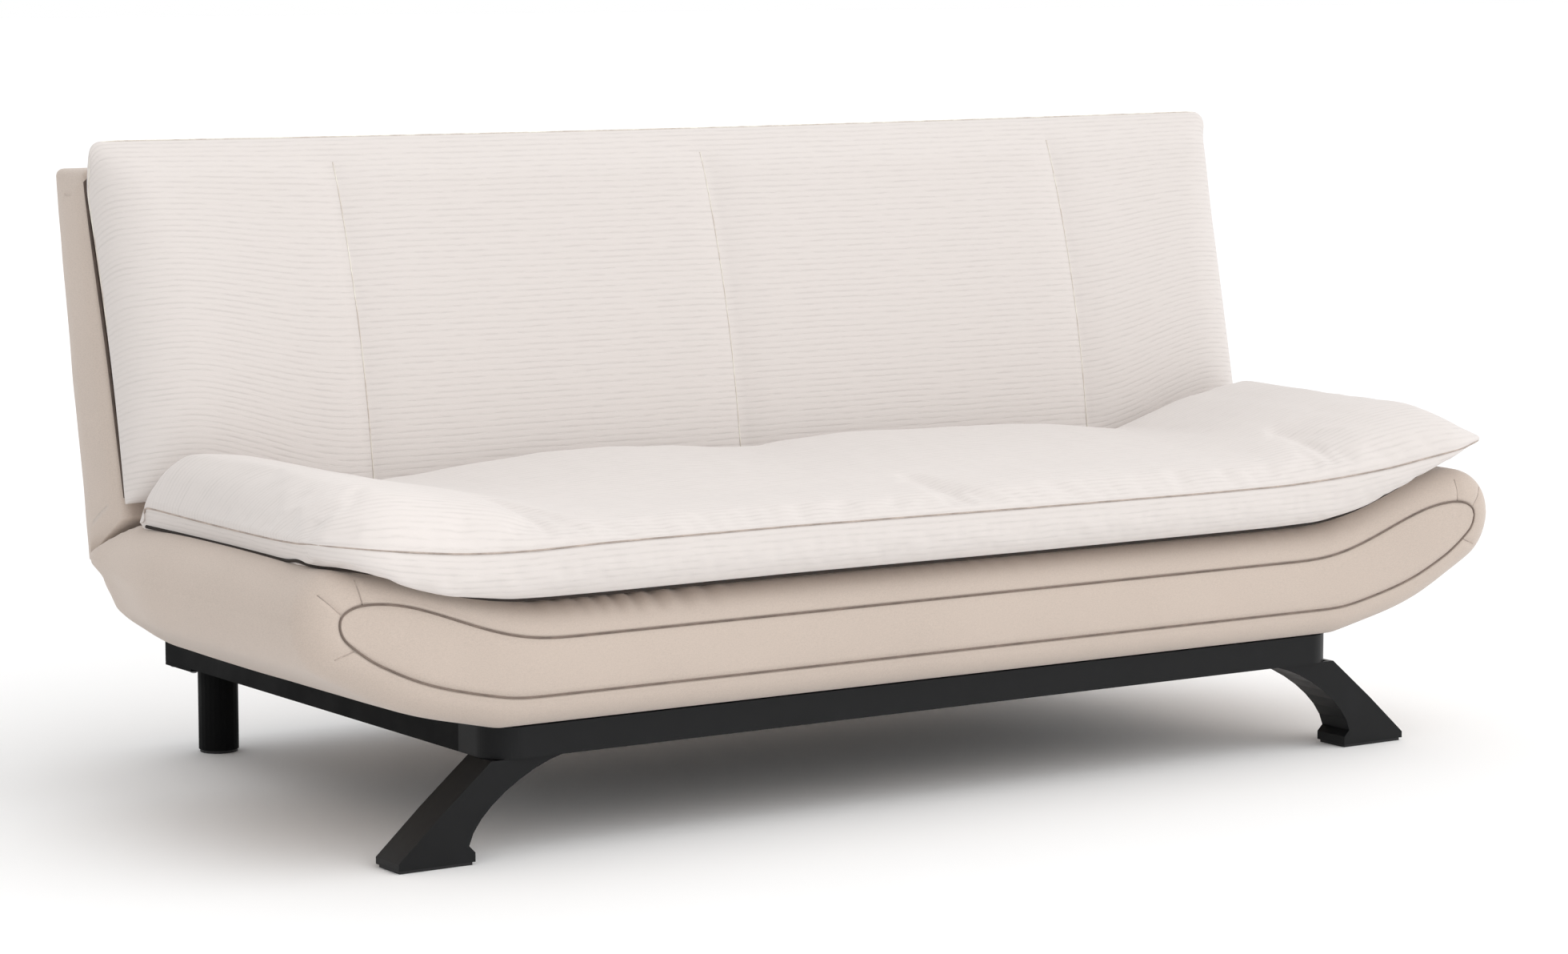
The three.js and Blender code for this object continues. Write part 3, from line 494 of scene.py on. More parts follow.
def puff(obj, pins, cap, frames=18):
    """Swells a closed cloth under pressure between pinned seams, then keeps each point within cap."""
    start = coords(obj)
    group = obj.vertex_groups.new(name="pins")
    group.add(np.nonzero(pins)[0].tolist(), 1.0, "REPLACE")
    cloth_mod = obj.modifiers.new("Cloth", "CLOTH")
    s = cloth_mod.settings
    s.quality = 5
    s.mass = 0.25
    s.tension_stiffness = s.compression_stiffness = 12
    s.shear_stiffness = 4
    s.bending_stiffness = 0.35
    s.tension_damping = s.compression_damping = s.shear_damping = 6
    s.air_damping = 2.5
    s.use_pressure = True
    s.uniform_pressure_force = 1.8
    s.vertex_group_mass = "pins"
    s.pin_stiffness = 1.0
    s.shrink_min = -0.012
    s.effector_weights.gravity = 0
    cloth_mod.collision_settings.use_collision = False
    cloth_mod.point_cache.frame_start, cloth_mod.point_cache.frame_end = 1, frames
    for frame_number in range(1, frames + 1):
        scene.frame_set(frame_number)
    after = obj.evaluated_get(bpy.context.evaluated_depsgraph_get())
    move = coords(after) - start
    obj.modifiers.clear()
    obj.vertex_groups.clear()
    far = np.linalg.norm(move, axis=1)
    move *= (np.minimum(far, cap) / np.maximum(far, 1e-9))[:, None]
    put(obj, start + move)
    scene.frame_set(1)


# Seat body


def seat_top_z(x):
    """The outline's upper edge, from the middle to the nose tip."""
    ax = np.abs(x)
    nose = np.sqrt(np.clip(NOSE_R ** 2 - np.clip(ax - (HALF - NOSE_R), 0, NOSE_R) ** 2, 0, None))
    return SEAT_TOP + rise(x) - (NOSE_R - nose) * (ax > HALF - NOSE_R)


nose_x, nose_z = HALF - NOSE_R, SEAT_TOP + RISE - NOSE_R
bow_x = nose_x + NOSE_R * math.sin(math.radians(35))
bow_z = nose_z - NOSE_R * math.cos(math.radians(35))


def toward(p, q, far):
    """The point that lies so far from p on the way to q."""
    return p + (q - p) / np.linalg.norm(q - p) * far


def bend(a, b, c, count):
    t = np.linspace(0, 1, count)[:, None]
    return (1 - t) ** 2 * np.array(a) + 2 * t * (1 - t) * np.array(b) + t * t * np.array(c)


keel_at = np.array([KEEL_FROM, SEAT_FLOOR])
keel_mid = keel_at + (np.array([bow_x, bow_z]) - keel_at) * np.array([0.68, 0.495])
keel_start = toward(keel_at, keel_mid, 0.06)
keel = np.vstack([bend((KEEL_FROM - 0.014, SEAT_FLOOR), keel_at, keel_start, 20)[:-1],
                  bend(keel_start, keel_mid, (bow_x, bow_z), 60)])


def seat_low_z(x):
    ax = np.abs(x)
    under = np.interp(ax, keel[:, 0], keel[:, 1], left=SEAT_FLOOR)
    arc = nose_z - np.sqrt(np.clip(NOSE_R ** 2 - np.clip(ax - nose_x, 0, NOSE_R) ** 2, 0, None))
    return np.where(ax > bow_x, arc, under)


def draw_in(outline, inset):
    """Moves each point of a closed outline along its inward normal."""
    before, after = np.roll(outline, 1, 0), np.roll(outline, -1, 0)
    a = outline - before
    b = after - outline
    a /= np.linalg.norm(a, axis=1)[:, None]
    b /= np.linalg.norm(b, axis=1)[:, None]
    grow = inset / (1 + np.sum(a * b, axis=1))
    return outline + np.stack([-(a[:, 1] + b[:, 1]), a[:, 0] + b[:, 0]], -1) * grow[:, None]


def seat_outline():
    tip = nose_x + NOSE_R * np.sin(np.linspace(0, math.pi / 2 - 0.035, 22))[1:]
    x = np.concatenate([-tip[::-1], np.linspace(-nose_x, nose_x, 260), tip])
    low = np.stack([x, seat_low_z(x)], -1)
    top = np.stack([x[::-1], seat_top_z(x[::-1])], -1)
    return np.vstack([low, top])


def foot(x):
    front = 0.005 + rise(x)
    rear = 0.005 + rise(x) * 0.4
    tilt = np.arctan((front - rear) / FOOT_DEEP)
    reach = (front + PIVOT_BELOW) * np.cos(tilt) - PIVOT_DEEP * np.sin(tilt)
    return front, rear, LEAN + tilt, reach


def under_back(p, clear=0.003):
    """Keeps points out of the space that the back sweeps."""
    _, _, turn, reach = foot(p[..., 0])
    radius = reach - clear
    forward = turn - RELEASE
    dy, dz = p[..., 1] - PIVOT[0], p[..., 2] - PIVOT[1]
    way = np.arctan2(dy, dz)
    out = p.copy()
    d = dy * np.sin(forward) + dz * np.cos(forward)
    flat = (way < forward) & (way > -2.4) & (d > radius)
    out[..., 1] = np.where(flat, p[..., 1] - (d - radius) * np.sin(forward), out[..., 1])
    out[..., 2] = np.where(flat, p[..., 2] - (d - radius) * np.cos(forward), out[..., 2])
    r = np.hypot(dy, dz)
    round_ = (way >= forward) & (way < math.pi / 2) & (r > radius)
    out[..., 1] = np.where(round_, PIVOT[0] + dy / np.maximum(r, 1e-6) * radius, out[..., 1])
    out[..., 2] = np.where(round_, PIVOT[1] + dz / np.maximum(r, 1e-6) * radius, out[..., 2])
    low = ((way >= math.pi / 2) | (way <= -2.4)) & (dy > radius)
    out[..., 1] = np.where(low, PIVOT[0] + radius, out[..., 1])
    return out


def seat_shapes():
    """The outline with its swollen keel and noses, and a smoother one for the front seam."""
    shape = seat_outline()
    ends = np.abs(shape[:, 0])
    lower = np.arange(len(shape)) < len(shape) // 2
    shape = draw_in(shape, -KEEL_SWELL * smooth(0.7, 0.86, ends) * smooth(0.99, 0.94, ends) * lower)
    shape[:, 0] += np.sign(shape[:, 0]) * NOSE_OUT * smooth(0.9, 0.96, np.abs(shape[:, 0]))
    faired = shape.copy()
    for _ in range(26):
        faired += 0.5 * (0.5 * (np.roll(faired, 1, 0) + np.roll(faired, -1, 0)) - faired)
    return shape, faired


def seat_rings():
    """Closed rings from the front panel's seam, over the rounded edge, to the middle of the stern."""
    def ring_at(shape, y):
        return np.column_stack([shape[:, 0], np.full(len(shape), y), shape[:, 1]])

    shape, faired = seat_shapes()
    tips = 0.005 * smooth(0.9, 0.96, np.abs(faired[:, 0]))
    rings = []
    for draw, push in ((0.0475, -0.0005), (0.0455, 0.0016), (0.0435, 0.0005), (0.041, -0.0004)):
        rings.append(ring_at(draw_in(faired, draw - 0.003 + tips), SEAT_FRONT + push))
    for a in np.linspace(0.12, math.pi / 2, 15):
        draw = EDGE_R * (1 - math.sin(a))
        share = math.sin(a) ** 2
        ring = (1 - share) * draw_in(faired, draw - 0.003 * (1 - share)) + share * draw_in(shape, draw)
        rings.append(ring_at(ring, SEAT_FRONT + EDGE_R * (1 - math.cos(a))))
    for y in np.linspace(SEAT_FRONT + EDGE_R, SEAT_REAR - STERN_R, 54)[1:]:
        swell = 0.0015 * math.sin(math.pi * (y - SEAT_FRONT) / (SEAT_REAR - SEAT_FRONT))
        rings.append(ring_at(draw_in(shape, -swell), y))
    for a in np.linspace(math.pi / 2, 0, 10)[1:]:
        ring = draw_in(shape, STERN_R * (1 - math.sin(a)))
        rings.append(ring_at(ring, SEAT_REAR - STERN_R * (1 - math.cos(a))))
    rings = np.array(rings)
    # the sides of the stern are sewn in towards the back's foot
    ends, z = np.abs(rings[..., 0]), rings[..., 2]
    tuck = smooth(0.4, 0.64, rings[..., 1] - BACK_SHIFT) * smooth(0.84, 0.96, ends)
    corner = smooth(0.342, 0.308, z) * smooth(0.245, 0.29, z)
    rings[..., 0] -= np.sign(rings[..., 0]) * (0.02 + 0.017 * corner) * tuck
    return under_back(rings)


def crumpled(rings):
    """Adds soft dents over the sides, and gathers where the cover is pulled over the front edge."""
    x, y, z = rings[..., 0], rings[..., 1] - SEAT_FRONT, rings[..., 2]
    ends = np.abs(x)
    edge = smooth(0.13, 0.03, y) * smooth(0.002, 0.012, y)
    upper = smooth(0.004, 0.05, z - (seat_low_z(x) + seat_top_z(x)) / 2)
    gather = np.sin(x * 190 + 2.1 * np.sin(x * 23)) * (0.5 + 0.5 * np.sin(x * 11 + 1)) * edge * upper
    spot = np.exp(-((x + 0.44) / 0.16) ** 2) + 0.3
    field = smooth(0.01, 0.06, y) * smooth(SEAT_REAR - SEAT_FRONT, SEAT_REAR - SEAT_FRONT - 0.08, y)
    dent = waves(rings, 0.33, 5) * field * smooth(0.7, 0.92, ends)
    inward = np.stack([np.sign(x) * smooth(0.9, 0.97, ends), 0 * x, np.where(z > nose_z, 1.0, -1.0)], -1)
    inward /= np.linalg.norm(inward, axis=-1)[..., None]
    move = np.where(z < SEAT_FLOOR + 0.004, 0, gather * spot * 0.0026 + dent * 0.0018)
    return rings + inward * move[..., None]


def stitch_tucks(rings):
    """Draws in the small tucks round both noses."""
    for inner, outer in TUCKS:
        span = math.dist(inner, outer)
        way = (outer[0] - inner[0]) / span, (outer[1] - inner[1]) / span
        ox, oz = np.abs(rings[..., 0]) - nose_x - inner[0], rings[..., 2] - nose_z - inner[1]
        along = ox * way[0] + oz * way[1]
        off = oz * way[0] - ox * way[1]
        near = smooth(-0.006, 0.006, along) * smooth(span + 0.006, span - 0.008, along)
        near *= np.exp(-(off / 0.0042) ** 2) * smooth(0.06, 0.035, rings[..., 1] - SEAT_FRONT)
        rings[..., 1] += near * 0.0026


def seat_body():
    rings = crumpled(seat_rings())
    stitch_tucks(rings)
    count, n = rings.shape[:2]
    idx = np.arange(count * n).reshape(count, n)
    faces = bands(idx[:-1], idx[1:])
    # the panel inside the seam: ladder rows from bottom to top, a little full in the middle
    half, steps = n // 2, 10
    grid = np.empty((half, steps + 1), int)
    verts = rings.reshape(-1, 3).tolist()
    for i in range(half):
        low, high = rings[0, i], rings[0, n - 1 - i]
        grid[i, 0], grid[i, steps] = i, n - 1 - i
        for k in range(1, steps):
            p = low + (high - low) * (k / steps)
            across = math.sin(math.pi * k / steps)
            full = 0.0035 * across ** 0.6 * smooth(0.94, 0.86, abs(p[0]))
            p[1] -= full - 0.0009 * math.sin(p[0] * 31) * across
            grid[i, k] = len(verts)
            verts.append(p)
    faces += grid_quads(grid)
    last = idx[-1]
    for i in range(half - 1):
        faces.append([last[i], last[i + 1], last[n - 2 - i], last[n - 1 - i]])
    obj = add_mesh("seat_cover_soft", verts, faces)
    bm = bmesh.new()
    bm.from_mesh(obj.data)
    bmesh.ops.recalc_face_normals(bm, faces=bm.faces)
    bm.to_mesh(obj.data)
    bm.free()
    return obj, rings[1]


seat_cover, seam_ring = seat_body()
belong(seat_cover, beige, "base")
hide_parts("seat_cover", "seat_front_panel")


def seat_core():
    """The foam inside the soft cover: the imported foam's own form, a little smaller."""
    obj = new_object("seat_foam_soft", nodes["seat_foam"].data.copy())
    co = coords(obj)
    ends, sign = np.abs(co[:, 0]), np.sign(co[:, 0])
    tuck = smooth(0.36, 0.62, co[:, 1] - BACK_SHIFT) * smooth(0.82, 0.95, ends)
    co[:, 0] -= sign * (0.004 * smooth(0.7, 0.9, ends) + 0.04 * tuck)
    co[:, 1] = -0.12 + (co[:, 1] + 0.12) * 0.985
    put(obj, co)
    belong(obj, foam, "base")
    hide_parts("seat_foam")


seat_core()

lines = bmesh.new()
for side in (-1, 1):
    for inner, outer in TUCKS:
        path = []
        for k in np.linspace(0, 1, 9):
            x = side * (nose_x + inner[0] + (outer[0] - inner[0]) * k)
            z = nose_z + inner[1] + (outer[1] - inner[1]) * k
            path.append(seat_cover.ray_cast(Vector((x, -1, z)), Vector((0, 1, 0)))[1])
        part = cord_mesh("tuck", np.array(path), 0.0008)
        lines.from_mesh(part.data)
        bpy.data.objects.remove(part)
nose_tucks = new_object("nose_tucks", bpy.data.meshes.new("nose_tucks"))
lines.to_mesh(nose_tucks.data)
lines.free()
belong(nose_tucks, thread, "base")

seam = resample(seam_ring, 700, closed=True)
seam[:, 1] = SEAT_FRONT - 0.0004
oval = cord_mesh("seat_oval_seam", seam, 0.0013, sides=8, closed=True)
belong(oval, taupe, "base")


# Toppers


def pad_stations(half, step, width):
    """Even places across the middle and closer ones where the ends round off."""
    mid = np.linspace(-(half - width), half - width, int(round(2 * (half - width) / step)) + 1)
    tip = half - width + width * np.sin(np.linspace(0, math.pi / 2, int(width / step * 1.9)))[1:]
    return np.concatenate([-tip[::-1], mid, tip])


def table(xs, values, blur=0.02):
    """A smooth line through a few measured values across the width."""
    grid = np.linspace(-1.1, 1.1, 1101)
    line = np.interp(grid, xs, values)
    span = int(blur / 0.002 * 3)
    kernel = np.exp(-0.5 * (np.arange(-span, span + 1) * 0.002 / blur) ** 2)
    line = np.convolve(np.pad(line, span, mode="edge"), kernel / kernel.sum(), mode="valid")
    return lambda x: np.interp(x, grid, line)


def through(points, count):
    """Evenly spaced points on a soft curve that follows a few given ones."""
    p = resample(points, 60)
    for _ in range(14):
        p[1:-1] += 0.5 * (0.5 * (p[:-2] + p[2:]) - p[1:-1])
    return resample(p, count)


def pad_mesh(name, rings):
    """A padded body; each ring runs over its upper half first, then back along its lower half."""
    count, n, _ = rings.shape
    obj = sleeve(name, rings)
    mesh = obj.data
    length = run_length(np.vstack([rings[count // 2], rings[count // 2][:1]]))
    layer = mesh.uv_layers.new(name="UVMap")
    co = coords(obj)
    uv = np.empty((len(mesh.loops), 2))
    for face in mesh.polygons:
        ids = [mesh.loops[k].vertex_index for k in face.loop_indices]
        rows = [v // n for v in ids]
        cols = [v % n for v in ids]
        lid = len(set(rows)) == 1
        wrap = not lid and max(cols) == n - 1 and min(cols) == 0
        for k, v, col in zip(face.loop_indices, ids, cols):
            uv[k] = co[v][1:] if lid else (co[v][0], length[n if wrap and col == 0 else col])
    layer.data.foreach_set("uv", uv.astype(np.float32).ravel())
    return obj


# the seat topper's front seam, lower edge and crowns, each over its place across the width
front_seam_z = table([-0.955, -0.914, -0.868, -0.775, -0.685, -0.565, -0.28, 0.05,
                      0.4, 0.56, 0.66, 0.746, 0.804, 0.861, 0.934, 0.955],
                     [0.429, 0.424, 0.418, 0.408, 0.405, 0.409, 0.409, 0.405,
                      0.403, 0.403, 0.407, 0.413, 0.421, 0.429, 0.437, 0.44])
front_low_z = table([-0.955, -0.931, -0.899, -0.857, -0.793, -0.706, -0.56, -0.27, 0.1,
                     0.55, 0.628, 0.703, 0.785, 0.845, 0.9, 0.93, 0.955],
                    [0.404, 0.4, 0.389, 0.37, 0.351, 0.343, 0.341, 0.342, 0.341,
                     0.342, 0.345, 0.358, 0.385, 0.408, 0.429, 0.435, 0.438], 0.012)
crown_z = table([-0.955, -0.91, -0.85, -0.79, -0.72, -0.66, -0.596, -0.5, -0.3, 0.0,
                 0.3, 0.5, 0.564, 0.655, 0.732, 0.81, 0.9, 0.955],
                [0.497, 0.497, 0.492, 0.481, 0.467, 0.453, 0.438, 0.43, 0.431, 0.433,
                 0.432, 0.43, 0.433, 0.453, 0.473, 0.49, 0.499, 0.499], 0.018)
crown_rear_z = table([-0.955, -0.935, -0.853, -0.781, -0.7, -0.647, -0.58, -0.496, -0.393, -0.288,
                      -0.182, -0.1, -0.04, 0.011, 0.124, 0.253, 0.4, 0.477, 0.55, 0.615, 0.66,
                      0.75, 0.835, 0.9, 0.955],
                     [0.492, 0.495, 0.491, 0.474, 0.452, 0.443, 0.447, 0.457, 0.465, 0.466,
                      0.461, 0.452, 0.451, 0.456, 0.461, 0.458, 0.455, 0.451, 0.442, 0.433, 0.447,
                      0.472, 0.487, 0.494, 0.492], 0.012)


def tufts(x, places):
    """Narrow and broad share of the dip that the sewn lines make at x."""
    off = min(abs(x - p) for p in places)
    return math.exp(-(off / 0.006) ** 2), math.exp(-(off / 0.034) ** 2)


def hump(share):
    """A rise from 0 to 1 and back to 0 over the share."""
    return np.sin(math.pi * np.clip(share, 0, 1))


def round_end(x, half, wide):
    """1 along the middle, and falling to 0 at both ends on a quarter ellipse."""
    return np.sqrt(np.clip(1 - (np.clip(np.abs(x) - (half - wide), 0, None) / wide) ** 2, 0, 1))


def domed(share, power):
    """A rise from 0 to 1 that is steep first and level at the end."""
    return 1 - (1 - np.clip(share, 0, 1)) ** power


def seat_upper(x, s, seam_f, seam_r):
    """Heights of the seat topper's upper half at s, from its front seam to its rear seam."""
    ax = abs(x)
    tip, wing = smooth(0.9, PAD_HALF, ax), smooth(0.6, 0.9, ax)
    seam = seam_f + (seam_r - seam_f) * s - 0.005 * tip * np.sin(math.pi * s)
    wide = 0.13 - (0.055 if x > 0 else 0.095) * s
    end = round_end(x, PAD_HALF, wide)
    lift = domed(s / 0.26, 2.3) ** 0.62
    drop = domed((1 - s) / (0.075 - 0.03 * wing), 2.2) ** 0.6
    behind = smooth(0.25, 0.85, s)
    crown = crown_z(x) * (1 - behind) + crown_rear_z(x) * behind - 0.01 * wing * (1 - s)
    narrow, broad = tufts(x, SEAT_TUFTS)
    sewn = smooth(0.01, 0.06, s) * smooth(0.32, 0.14, s)
    return seam + (crown - seam) * lift * drop * end ** 0.9 - (0.004 * narrow + 0.005 * broad) * sewn


# points of the seat topper's slice: over its upper half, down the rear side and up the front band
UPPER, REAR_SIDE, BAND = 76, 8, 18


def seat_slice(x):
    """The seat topper's outline at x: back over the top, down the rear, forward below and up the band."""
    ax = abs(x)
    over = max(0.0, ax - (PAD_HALF - PAD_CORNER))
    front = -0.058 + PAD_CORNER - math.sqrt(max(PAD_CORNER ** 2 - over ** 2, 0))
    rear = 0.484 + 0.03 * smooth(0.86, 0.93, ax)
    floor = seat_top_z(min(ax, 0.945)) + 0.0008
    seam_f, low_f = front_seam_z(x), front_low_z(x)
    seam_r = SEAT_TOP + rise(x) + 0.045 - 0.012 * smooth(0.6, 0.9, ax)
    s = np.linspace(0, 1, UPPER)
    s = s - 0.2 * np.sin(2 * math.pi * s) / (2 * math.pi)
    upper = np.column_stack([front + (rear - front) * s, seat_upper(x, s, seam_f, seam_r)])
    k = np.linspace(0, 1, REAR_SIDE + 1)[1:]
    rear_side = np.column_stack([rear - 0.008 * k ** 1.5, seam_r + (floor - seam_r) * k])
    # the right end lifts off the seat's nose
    gap = max(0.0, low_f - floor - 0.012) if x > 0 else 0.0
    contact = front + 0.07 + 2.4 * gap
    touch = floor - 0.045 + math.sqrt(0.045 ** 2 - max(0.0, 0.013 - contact) ** 2)
    share = 0.55 + 0.35 * smooth(0.0, 0.02, gap)
    band = through([(contact, touch), (front + 0.034, max(touch, share * low_f + (1 - share) * touch)),
                    (front + 0.012, low_f + 0.0005), (front + 0.001, low_f + 0.2 * (seam_f - low_f)),
                    (front - 0.003, low_f + 0.55 * (seam_f - low_f)), (front, seam_f)], BAND + 1)[:-1]
    k = np.linspace(0, 1, UPPER - REAR_SIDE - BAND + 2)[1:-1]
    y, z = rear_side[-1]
    below = np.column_stack([y + (contact - y) * k, z + (touch - z) * smooth(0.0, 1.0, k) ** 6])
    ring = np.vstack([upper, rear_side, below, band])
    under = np.clip((ring[:, 1] - floor) / max(seam_f - floor, 0.01), 0, 1)
    tip = smooth(0.9, PAD_HALF, ax)
    draw = np.where(np.arange(len(ring)) >= UPPER, 0.011 * tip * (1 - under), 0)
    return np.column_stack([x - math.copysign(1, x) * draw, ring[:, 0] + BACK_SHIFT, ring[:, 1]])


def give_way(co):
    """The topper's rear edge gives way to the back topper and stays soft where it does."""
    start = co
    co = room_for_back(start)
    pushed = np.linalg.norm(co - start, axis=-1) > 1e-5
    near = np.zeros(pushed.shape)
    near[:, UPPER * 2 // 3:UPPER + REAR_SIDE // 2] = 1
    near *= pushed.any(axis=1)[:, None]
    for _ in range(60):
        co += 0.4 * near[..., None] * (0.5 * (np.roll(co, -1, 1) + np.roll(co, 1, 1)) - co)
        co = room_for_back(co)
    return co


def seat_topper():
    xs = pad_stations(PAD_HALF, 0.0095, 0.13)
    rings = np.array([seat_slice(x) for x in xs])
    side = smooth(0.8, PAD_HALF, np.abs(rings[..., 0]))
    rings[..., 0] -= np.sign(rings[..., 0]) * side * 0.008 * hump((rings[..., 1] - BACK_SHIFT) / 0.5)
    # the pinched ear at the right front corner
    ear = ((rings - np.array([0.95, BACK_SHIFT + 0.01, 0.441])) / np.array([0.03, 0.045, 0.009])) ** 2
    ear = np.exp(-ear.sum(-1))
    rings[..., 0] += 0.02 * ear
    rings[..., 1] -= 0.01 * ear
    upper = np.arange(rings.shape[1]) < UPPER
    soft = 0.0022 * waves(rings, 0.2, 21) + 0.0012 * waves(rings * np.array([1.0, 0.5, 1.0]), 0.07, 22)
    field = smooth(0, 0.02, rings[..., 2] - np.maximum(front_seam_z(rings[..., 0]), 0)) * upper
    rings[..., 2] += soft * field
    obj = pad_mesh("seat_topper_soft", rings)
    count, n = rings.shape[:2]
    pins = np.zeros((count, n))
    pins[:, UPPER:] = 1
    pins[:, 0] = pins[:, UPPER - 1] = 1
    pins[:, n - BAND + 10:n - 2] = 0
    pins[0], pins[-1] = 1, 1
    for place in SEAT_TUFTS:
        pins[np.argmin(np.abs(xs - place)), 2:UPPER // 3] = 1
    puff(obj, pins.ravel(), cap=0.006)
    put(obj, give_way(coords(obj).reshape(rings.shape)).reshape(-1, 3))
    ids = np.arange(count * n).reshape(count, n)
    seam = np.concatenate([ids[0, :UPPER][::-1], ids[1:-1, 0], ids[-1, :UPPER]])
    low, turned = UPPER + REAR_SIDE, n - BAND + 9
    edge = np.concatenate([ids[0, low:turned], ids[1:-1, turned - 1], ids[-1, low:turned][::-1]])
    return obj, seam, edge


def lean(t, s, x):
    """A point of the back: t in front of its face, s up along it."""
    c, k = math.cos(LEAN), math.sin(LEAN)
    return np.stack([x, BACK_Y - t * c + s * k, SEAT_TOP + t * k + s * c], -1)


def on_back(y, z):
    """How far a point lies behind the back's face, and how far up along it."""
    c, k = math.cos(LEAN), math.sin(LEAN)
    y, z = y - BACK_Y, z - SEAT_TOP
    return y * c - z * k, y * k + z * c


def back_front(x, s):
    """How far the back topper's face and its seam stand in front of the shell, without the sewn lines."""
    full = 0.046 + 0.037 * hump((s + 0.12) / 1.25) ** 0.75
    seam = 0.014 + 0.025 * smooth(0.88, 1, s)
    wide = 0.1 - 0.045 * smooth(0.6, 1, s)
    end = round_end(x, REST_HALF, wide)
    shoulder = domed((1 - s) / 0.13, 2.1) ** 0.6
    rounded = domed(s / 0.07, 2) ** 0.5
    return seam + (full - seam) * shoulder * end ** 0.9 * (0.55 + 0.45 * rounded), seam


def turned_forward(y, z, sign):
    """Turns a point about the pivot by the release angle; sign 1 goes into the turned back's frame."""
    c, k = math.cos(RELEASE), sign * math.sin(RELEASE)
    dy, dz = y - PIVOT[0], z - PIVOT[1]
    return PIVOT[0] + dy * c + dz * k, PIVOT[1] + dz * c - dy * k


def room_for_back(co, clear=0.004):
    """Keeps points out of the space that the back topper takes in its forward place."""
    behind, s = on_back(*turned_forward(co[..., 1], co[..., 2], 1))
    t = -behind
    low = 0.024 + rise(co[..., 0])
    share = np.clip((s - low) / (REST_TOP - low), 0, 1)
    end = smooth(0.8, 0.88, np.abs(co[..., 0]))
    face = back_front(co[..., 0], share)[0] + clear + 0.005 + 0.014 * end
    low = low - clear - 0.014 * end
    into, over = face - t, s - low
    inside = (into > 0) & (over > 0) & (t > -0.03)
    forward = inside & (into <= over * 1.4)
    t = np.where(forward, face, t)
    s = np.where(inside & ~forward, low, s)
    moved = lean(t, s, co[..., 0])
    y, z = turned_forward(moved[..., 1], moved[..., 2], -1)
    out = co.copy()
    out[..., 1] = np.where(inside, y, co[..., 1])
    out[..., 2] = np.where(inside, z, co[..., 2])
    return out


# points of the back topper's slice, over its face and again over its rear side
FACE = 74


def back_slice(x):
    """The back topper's outline at x: up its face from the foot, then down its rear side."""
    ax = abs(x)
    over = max(0.0, ax - (REST_HALF - REST_CORNER))
    round_off = REST_CORNER - math.sqrt(max(REST_CORNER ** 2 - over ** 2, 0))
    low = 0.024 + rise(x)
    high = REST_TOP - 0.004 * math.sin(math.pi * (x + REST_HALF) / (2 * REST_HALF)) - round_off
    s = np.linspace(0, 1, FACE)
    s = s - 0.12 * np.sin(2 * math.pi * s) / (2 * math.pi)
    narrow, broad = tufts(x, BACK_TUFTS)
    sewn = smooth(0.04, 0.14, s) * smooth(0.97, 0.88, s)
    front = back_front(x, s)[0] - (0.004 * narrow + 0.005 * broad) * sewn
    face = np.column_stack([front, low + (high - low) * s])
    s = np.linspace(0, 1, FACE)
    seam = 0.014 + 0.025 * smooth(0.88, 1, 1 - s)
    flat = round_end(x, REST_HALF, 0.05)
    close = domed(s / 0.08, 2) ** 0.5 * domed((1 - s) / 0.03, 2) ** 0.5
    rear = np.column_stack([0.0008 + (seam - 0.0008) * (1 - flat * close), high + (low - high) * s])
    ring = np.vstack([face, rear])
    return lean(ring[:, 0], ring[:, 1], np.full(len(ring), x))


def back_topper():
    xs = pad_stations(REST_HALF, 0.0105, 0.1)
    rings = np.array([back_slice(x) for x in xs])
    count, n = rings.shape[:2]
    up_share = (rings[..., 2] - SEAT_TOP) / (REST_TOP * math.cos(LEAN))
    pull = smooth(0.78, REST_HALF, np.abs(rings[..., 0])) * 0.008 * hump(up_share)
    rings[..., 0] -= np.sign(rings[..., 0]) * pull
    obj = pad_mesh("back_topper_soft", rings)
    pins = np.zeros((count, n))
    pins[:, FACE:] = 1
    pins[:, 0] = pins[:, FACE - 1] = 1
    pins[0], pins[-1] = 1, 1
    ids = np.arange(count * n).reshape(count, n)
    rows = []
    for place in BACK_TUFTS:
        near = np.argmin(np.abs(xs - place))
        pins[near, 6:FACE - 6] = 1
        rows.append(ids[near, 9:FACE - 6])
    puff(obj, pins.ravel(), cap=0.008)
    half = FACE // 2
    seam = np.concatenate([ids[0, half:FACE], ids[1:-1, FACE - 1], ids[-1, half:FACE][::-1]])
    return obj, seam, rows


def finish_pad(obj, material, body, node):
    modified(obj, "SUBSURF", levels=1, render_levels=1)
    belong(obj, material, body)
    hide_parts(node)


topper, seat_seam, seat_edge = seat_topper()
finish_pad(topper, cream_seat_painted_shading, "base", "seat_topper")
rest, back_seam, tuft_rows = back_topper()
finish_pad(rest, cream, "back", "back_topper")


def seam_cord(name, obj, ids, radius, material, body, offset):
    path = coords(obj)[ids] + np.array(offset)
    for _ in range(8):
        path[1:-1] += 0.5 * (0.5 * (path[:-2] + path[2:]) - path[1:-1])
    belong(cord_mesh(name, resample(path, len(path) * 2), radius), material, body)


